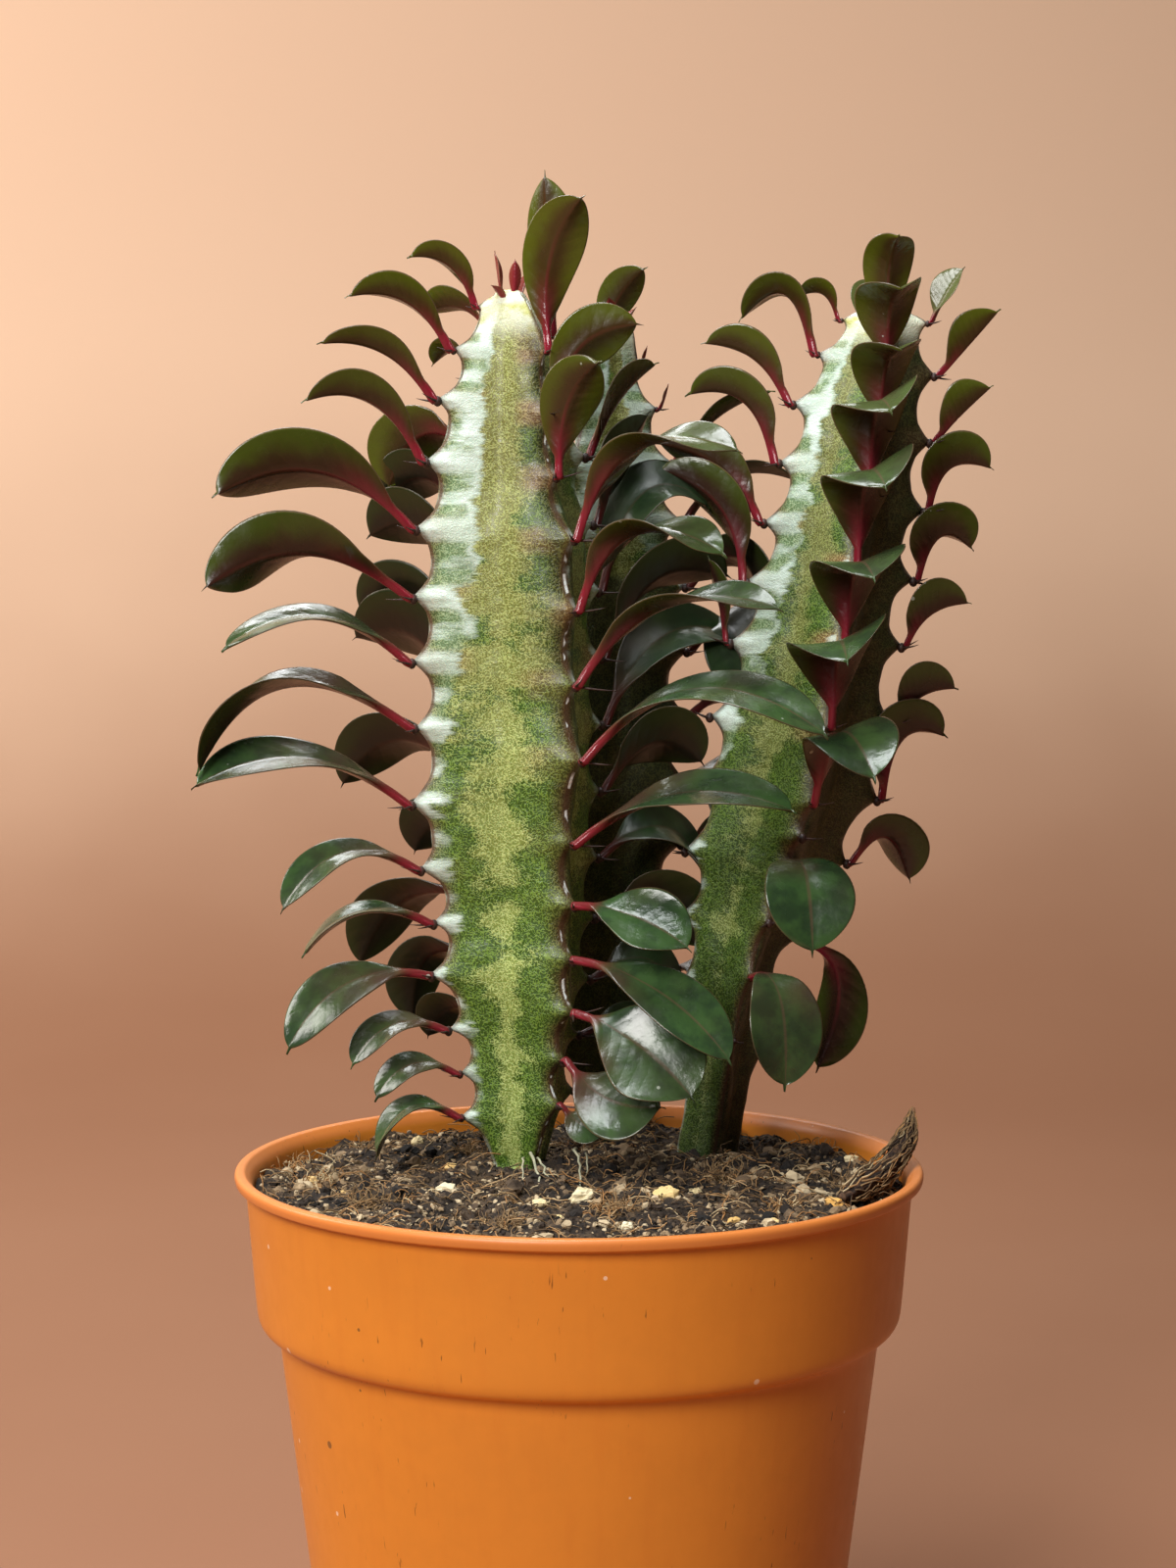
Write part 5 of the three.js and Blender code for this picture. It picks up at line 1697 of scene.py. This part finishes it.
def add_leaf(shell, seat, row, age, chance):
    """One leaf: a round stalk that opens into a folded, slightly waved spoon with a bristle at its tip."""
    _, toward, arch_out, arch_up, tip_out, tip_up, width, roll_base, roll_tip, fold = row
    line, lengths = midrib_points(seat, toward, (arch_out, arch_up), (tip_out, tip_up))
    length = lengths[-1]
    sideways = heading(toward).cross(UP)
    phase = chance.uniform(0, 6.28)
    wave = chance.uniform(*WAVE_SHARE) * width
    curl = chance.uniform(*CURL)
    scale = clamp(length / FULL_LENGTH, LEAST_SCALE, 1.0)
    bristle = BRISTLE_REACH * scale
    rings, marks = [], []
    for share in blade_shares() + [1 + bristle * 0.4 / length, 1 + bristle / length]:
        centre, forward = along_line(line, lengths, share)
        if share < 0:
            centre = seat - (forward * 0.6 + heading(toward) * 0.4) * LEAF_ROOT
        if share > 1:
            centre = centre + (forward - UP * 0.25).normalized() * (share - 1) * length
        up = sideways.cross(forward).normalized()
        turn = clamp((share - TURN_START) / TURN_LENGTH)
        roll = math.radians(mix(roll_base, roll_tip, turn) * clamp(share / TURN_START))
        side = sideways * math.cos(roll) + up * math.sin(roll)
        face = up * math.cos(roll) - sideways * math.sin(roll)
        half = half_width(max(share, 0), width)
        if share < PETIOLE_SHARE + 0.1:
            half = max(half * mix(0.75, 1, scale), 0.3)
        if share > 1:
            half = 0.16 * scale if share < 1 + bristle * 0.5 / length else 0.04
        opening = ease(share, PETIOLE_SHARE * 0.8, BLADE_OPEN)
        ring, marked = [], []
        for sign in (1, -1):
            for across in BLADE_ACROSS[::sign]:
                vee = (math.sqrt(across * across + 0.02) - 0.14) / 0.87
                lift = half * math.sin(math.radians(fold)) * vee
                reach = half * math.cos(math.radians(fold)) * across
                flutter = wave * math.sin(WAVES * share + phase + across) * across * across
                lift += (flutter + curl * half * across ** 4) * opening
                thick = skin_height(across, half, share, scale, opening, sign)
                ring.append(centre + side * reach + face * (lift + sign * thick))
                marked.append((across, clamp(share), sign * (1 + age)))
        rings.append(ring)
        marks.append(marked)
    shell.add_rings(rings, marks=marks)


def leaf_age(stem_name, rib, number):
    """From 1 for the youngest leaf to 0 for a full-grown one, and below 0 for a leaf in the stems' shade,
    which gets painted shade.
    """
    if number > 3 and (rib in ("far", "rear") or stem_name == "back_stem"):
        return PAINTED_SHADE_AGE
    return clamp(1 - (number - 1) / 5.5)


def build_leaf(stem_name, rib, row, settings, has_node):
    """One leaf as a piece of its own, in place of its node where it has one."""
    name = f"{stem_name}_{rib}_leaf_{row[0]}"
    seat = seat_point(STEMS[stem_name], rib, row[0], LEAF_GAP)
    shell = Shell()
    age = BUD_AGE if row[6] < BUD_WIDTH else leaf_age(stem_name, rib, row[0])
    add_leaf(shell, seat, row, age, random.Random(name))
    piece = shell.make("look_" + name, [leaf_finish(settings)], "blade")
    settle(piece, "young_leaf" if row[0] < 4 else "leaf", *([name] if has_node else []))


def build_tip_leaves(stem_name, settings):
    """The new leaves at one stem's tip, as one piece."""
    stem = STEMS[stem_name]
    chance = random.Random(stem_name + "tip")
    shell = Shell()
    for row in TIP_LEAVES[stem_name]:
        seat = middle(stem, stem["apex"] - row[0]) + heading(row[1]) * 1.4
        add_leaf(shell, seat, row, BUD_AGE, chance)
    settle(shell.make(stem_name + "_tip_leaves", [leaf_finish(settings)], "blade"), "young_leaf")


# ---------------------------------------------------------------- dry root and bark

CLUMP_STEPS = 40
CLUMP_SIDES = 14
CLUMP_STRANDS = 110
STRAND_SIDES = 5
SQUASH = 0.72


def clump_core(places):
    """The rings of the grooved middle piece."""
    rings = []
    for t in shares(CLUMP_STEPS):
        x, y, z, half = smooth(places, t)
        ahead = smooth(places, min(1, t + 0.02))
        behind = smooth(places, max(0, t - 0.02))
        forward = (Vector(ahead[:3]) - Vector(behind[:3])).normalized()
        side = Vector((-forward.y, forward.x, 0)).normalized()
        up = forward.cross(side)
        half *= SQUASH * (1 - 0.9 * ease(t, 0.9, 1))
        ring = []
        for angle in turns(CLUMP_SIDES):
            out = side * math.cos(angle) + up * math.sin(angle) * SQUASH
            rough = 0.3 * noise.noise(Vector((3 * t, angle, 4)) * 1.7)
            grooves = 1 + 0.16 * math.sin(5 * angle + 3 * t) + rough
            ring.append(Vector((x, y, z)) + out * half * grooves)
        rings.append(ring)
    return rings


def build_root_clump():
    """The dry root: a grooved middle piece and the strands that wind loosely round it."""
    chance = random.Random(31)
    places = [(index / (len(ROOT_CLUMP) - 1),) + row for index, row in enumerate(ROOT_CLUMP)]
    shell = Shell()
    rings = clump_core(places)
    shell.add_rings(rings, marks=[[(0.1, 0, 0)] * CLUMP_SIDES] * len(rings))
    for _ in range(CLUMP_STRANDS):
        start = chance.uniform(0, 0.75)
        reach = chance.uniform(0.2, 0.5)
        around = chance.uniform(0, 2 * math.pi)
        path = []
        for step in range(9):
            x, y, z, half = smooth(places, clamp(start + reach * step / 8))
            around += chance.gauss(0, 0.16)
            loose = 0.86 + 0.25 * chance.random()
            offset = Vector((SQUASH * math.cos(around), -0.6 * math.cos(around), math.sin(around) * 0.9))
            path.append(Vector((x, y, z)) + offset * max(half, 0.5) * loose)
        thick = chance.uniform(0.07, 0.2)
        radii = [thick * (1 - 0.5 * step / 8) for step in range(9)]
        mark = (clamp(chance.gauss(0.5, 0.25)), 0, 0)
        shell.add_tube(path, radii, STRAND_SIDES, pick=1, mark=mark)
    piece = shell.make("root_and_bark", [bark_finish(), fibre_finish()], "tint")
    settle(piece, "dry_root", "root_clump")


# ---------------------------------------------------------------- stage, lights and camera

CAMERA_PLACE = (0.00154, -0.4758, 0.2006)
CAMERA_TILT = 3.51
CAMERA_LENS = 63
CAMERA_SENSOR = 36
# In metres: the backdrop's half width, its front edge and wall, its height, and the curve between.
STAGE_HALF_WIDTH = 2.6
STAGE_FLOOR = (-2.5, -1.0, 0.2, 0.6)
STAGE_CURVE = 0.5
STAGE_CURVE_STEPS = 14
STAGE_HEIGHT = 2.6
PLANT_MIDDLE = (0.0, 0.02, 0.15)
ROOM_TINT = (1.0, 0.95, 0.91, 1.0)
# Each lamp: its place, the place that it points at, its width and height, and its colour.
LAMPS = {
    "key": ((-0.4, -0.79, 0.68), PLANT_MIDDLE, (0.4, 0.44), (1.0, 0.98, 0.95)),
    "top": ((-0.08, -0.1, 0.92), PLANT_MIDDLE, (0.31, 0.35), (0.95, 0.98, 1.0)),
    "fill": ((0.9, -0.5, 0.3), PLANT_MIDDLE, (0.5, 0.5), (1.0, 0.93, 0.88)),
    "back": ((-0.12, 0.62, 0.74), PLANT_MIDDLE, (0.5, 0.14), (0.94, 0.99, 1.0)),
    "wall": ((-1.0, 0.3, 0.8), (-0.14, 1.1, 0.33), (0.6, 0.6), (1.0, 0.95, 0.9)),
}


def add_lamp(name, power, place, aim, size, tint):
    data = bpy.data.lights.new(name, "AREA")
    data.shape = "RECTANGLE"
    data.size, data.size_y = size
    data.energy = power
    data.color = tint
    lamp = link(bpy.data.objects.new(name, data))
    lamp.location = place
    lamp.rotation_euler = (Vector(aim) - Vector(place)).to_track_quat("-Z", "Y").to_euler()


def build_backdrop(settings):
    """A pale floor that curves up into a wall behind the plant."""
    profile = [(y, 0.0) for y in STAGE_FLOOR]
    curve_start = STAGE_FLOOR[-1]
    for step in range(1, STAGE_CURVE_STEPS + 1):
        angle = math.pi / 2 * step / STAGE_CURVE_STEPS
        rise = STAGE_CURVE - STAGE_CURVE * math.cos(angle)
        profile.append((curve_start + STAGE_CURVE * math.sin(angle), rise))
    profile.append((curve_start + STAGE_CURVE, STAGE_HEIGHT))
    points, faces = [], []
    for y, z in profile:
        points += [(-STAGE_HALF_WIDTH, y, z), (STAGE_HALF_WIDTH, y, z)]
    for row in range(len(profile) - 1):
        low = row * 2
        faces.append((low, low + 1, low + 3, low + 2))
    mesh = bpy.data.meshes.new("backdrop")
    mesh.from_pydata(points, [], faces)
    mesh.materials.append(stage_finish(settings))
    mesh.polygons.foreach_set("use_smooth", [True] * len(faces))
    show("backdrop", mesh)


def build_camera():
    """The camera of the photo, which looks slightly down."""
    data = bpy.data.cameras.new("camera")
    data.lens = CAMERA_LENS
    data.sensor_width = CAMERA_SENSOR
    data.clip_start = 0.01
    camera = link(bpy.data.objects.new("camera", data))
    camera.location = CAMERA_PLACE
    camera.rotation_euler = (math.radians(90 - CAMERA_TILT), 0, 0)
    bpy.context.scene.camera = camera


def build_stage(settings):
    """The backdrop, the lamps, the room's even light and the camera."""
    build_backdrop(settings)
    for name, row in LAMPS.items():
        add_lamp(name, getattr(settings, name + "_power"), *row)
    world = bpy.data.worlds.new("Soft Room")
    world.use_nodes = True
    background = world.node_tree.nodes["Background"]
    background.inputs["Color"].default_value = ROOM_TINT
    background.inputs["Strength"].default_value = settings.room_light
    bpy.context.scene.world = world
    bpy.context.scene.view_settings.view_transform = "Standard"
    build_camera()


# ---------------------------------------------------------------- settings, operators and panel

class PotSettings(bpy.types.PropertyGroup):
    plastic: FloatVectorProperty(
        name="Plastic", description="Colour of the moulded pot", subtype="COLOR", size=4,
        min=0, max=1, default=colour(224, 136, 46),
    )


class SoilSettings(bpy.types.PropertyGroup):
    crumbs: FloatProperty(
        name="Crumbs", description="Loose fine crumbs on each square millimetre of soil",
        default=0.65, min=0, max=2,
    )
    fibres: FloatProperty(
        name="Fibres", description="Loose fibres on each square millimetre of soil",
        default=0.2, min=0, max=1,
    )
    seed: IntProperty(name="Seed", description="Which of the random layouts is used", default=4)


class PlantSettings(bpy.types.PropertyGroup):
    green: FloatVectorProperty(
        name="Green", description="Colour of the stems' green blotches", subtype="COLOR", size=4,
        min=0, max=1, default=colour(118, 150, 58),
    )
    upper: FloatVectorProperty(
        name="Upper side", description="Colour of the leaves' upper sides", subtype="COLOR", size=4,
        min=0, max=1, default=colour(42, 62, 38),
    )
    under: FloatVectorProperty(
        name="Underside", description="Colour of the leaves' undersides near the margin",
        subtype="COLOR", size=4, min=0, max=1, default=colour(56, 66, 22),
    )
    stalk: FloatVectorProperty(
        name="Stalk", description="Colour of the leaf stalks", subtype="COLOR", size=4,
        min=0, max=1, default=colour(132, 32, 46),
    )


class StageSettings(bpy.types.PropertyGroup):
    floor: FloatVectorProperty(
        name="Floor", description="Colour of the floor", subtype="COLOR", size=4,
        min=0, max=1, default=colour(144, 99, 71),
    )
    wall: FloatVectorProperty(
        name="Wall", description="Colour of the backdrop's upper part", subtype="COLOR", size=4,
        min=0, max=1, default=colour(232, 196, 166),
    )
    key_power: FloatProperty(
        name="Key light", description="Light from the left", subtype="POWER", default=10.6,
    )
    top_power: FloatProperty(
        name="Top light", description="Light from above", subtype="POWER", default=5.5,
    )
    fill_power: FloatProperty(
        name="Fill light", description="Light from the right", subtype="POWER", default=0.05,
    )
    back_power: FloatProperty(
        name="Back light", description="Light from behind", subtype="POWER", default=2.0,
    )
    wall_power: FloatProperty(
        name="Wall light", description="Light on the backdrop", subtype="POWER", default=12.0,
    )
    room_light: FloatProperty(name="Room light", description="Even light all round", default=0.01, min=0)


class EUPHORBIA_OT_pot(bpy.types.Operator):
    """Builds the moulded nursery pot with its lip, collar and drain holes"""
    bl_idname = "euphorbia.pot"
    bl_label = "Pot"

    def execute(self, context):
        build_pot(context.scene.euphorbia_pot)
        return {"FINISHED"}


class EUPHORBIA_OT_soil(bpy.types.Operator):
    """Builds the body of soil that fills the pot"""
    bl_idname = "euphorbia.soil"
    bl_label = "Soil"

    def execute(self, context):
        build_soil()
        return {"FINISHED"}


class EUPHORBIA_OT_litter(bpy.types.Operator):
    """Scatters crumbs, fibres and grit over the soil"""
    bl_idname = "euphorbia.litter"
    bl_label = "Crumbs, Fibres and Grit"

    def execute(self, context):
        build_litter(context.scene.euphorbia_soil)
        return {"FINISHED"}


class EUPHORBIA_OT_stems(bpy.types.Operator):
    """Builds the three ribbed stems with their spines and young roots"""
    bl_idname = "euphorbia.stems"
    bl_label = "Stems"

    def execute(self, context):
        for name in STEMS:
            build_stem(name, context.scene.euphorbia_plant)
        build_foot_roots()
        return {"FINISHED"}


class EUPHORBIA_OT_leaves(bpy.types.Operator):
    """Builds every leaf on its seat, and the new leaves at the stems' tips"""
    bl_idname = "euphorbia.leaves"
    bl_label = "Leaves"

    def execute(self, context):
        settings = context.scene.euphorbia_plant
        for table, has_node in ((LEAVES, True), (SHADED_LEAVES, False)):
            for stem_name, rib, rows in table:
                for row in rows:
                    build_leaf(stem_name, rib, row, settings, has_node)
        for stem_name in TIP_LEAVES:
            build_tip_leaves(stem_name, settings)
        return {"FINISHED"}


class EUPHORBIA_OT_root_clump(bpy.types.Operator):
    """Builds the dry root and bark that leans on the lip"""
    bl_idname = "euphorbia.root_clump"
    bl_label = "Dry Root and Bark"

    def execute(self, context):
        build_root_clump()
        return {"FINISHED"}


class EUPHORBIA_OT_stage(bpy.types.Operator):
    """Builds the pale backdrop, the soft lights and the camera"""
    bl_idname = "euphorbia.stage"
    bl_label = "Stage"

    def execute(self, context):
        build_stage(context.scene.euphorbia_stage)
        return {"FINISHED"}


OPERATORS = (
    EUPHORBIA_OT_pot, EUPHORBIA_OT_soil, EUPHORBIA_OT_litter, EUPHORBIA_OT_stems,
    EUPHORBIA_OT_leaves, EUPHORBIA_OT_root_clump, EUPHORBIA_OT_stage,
)


class EUPHORBIA_PT_panel(bpy.types.Panel):
    bl_label = "Potted Euphorbia"
    bl_idname = "EUPHORBIA_PT_panel"
    bl_space_type = "VIEW_3D"
    bl_region_type = "UI"
    bl_category = "Euphorbia"

    def draw(self, context):
        for settings in SETTINGS:
            box = self.layout.box()
            held = getattr(context.scene, settings)
            for name in held.bl_rna.properties.keys():
                if name not in ("rna_type", "name"):
                    box.prop(held, name)
        for operator in OPERATORS:
            self.layout.operator(operator.bl_idname)


SETTINGS = {
    "euphorbia_pot": PotSettings,
    "euphorbia_soil": SoilSettings,
    "euphorbia_plant": PlantSettings,
    "euphorbia_stage": StageSettings,
}


def register():
    for name, group in SETTINGS.items():
        bpy.utils.register_class(group)
        setattr(bpy.types.Scene, name, PointerProperty(type=group))
    for operator in OPERATORS:
        bpy.utils.register_class(operator)
    bpy.utils.register_class(EUPHORBIA_PT_panel)


def unregister():
    bpy.utils.unregister_class(EUPHORBIA_PT_panel)
    for operator in reversed(OPERATORS):
        bpy.utils.unregister_class(operator)
    for name, group in reversed(SETTINGS.items()):
        delattr(bpy.types.Scene, name)
        bpy.utils.unregister_class(group)


def main():
    register()
    bpy.ops.euphorbia.pot()
    bpy.ops.euphorbia.soil()
    bpy.ops.euphorbia.litter()
    bpy.ops.euphorbia.stems()
    bpy.ops.euphorbia.leaves()
    bpy.ops.euphorbia.root_clump()
    bpy.ops.euphorbia.stage()


if __name__ == "__main__":
    main()
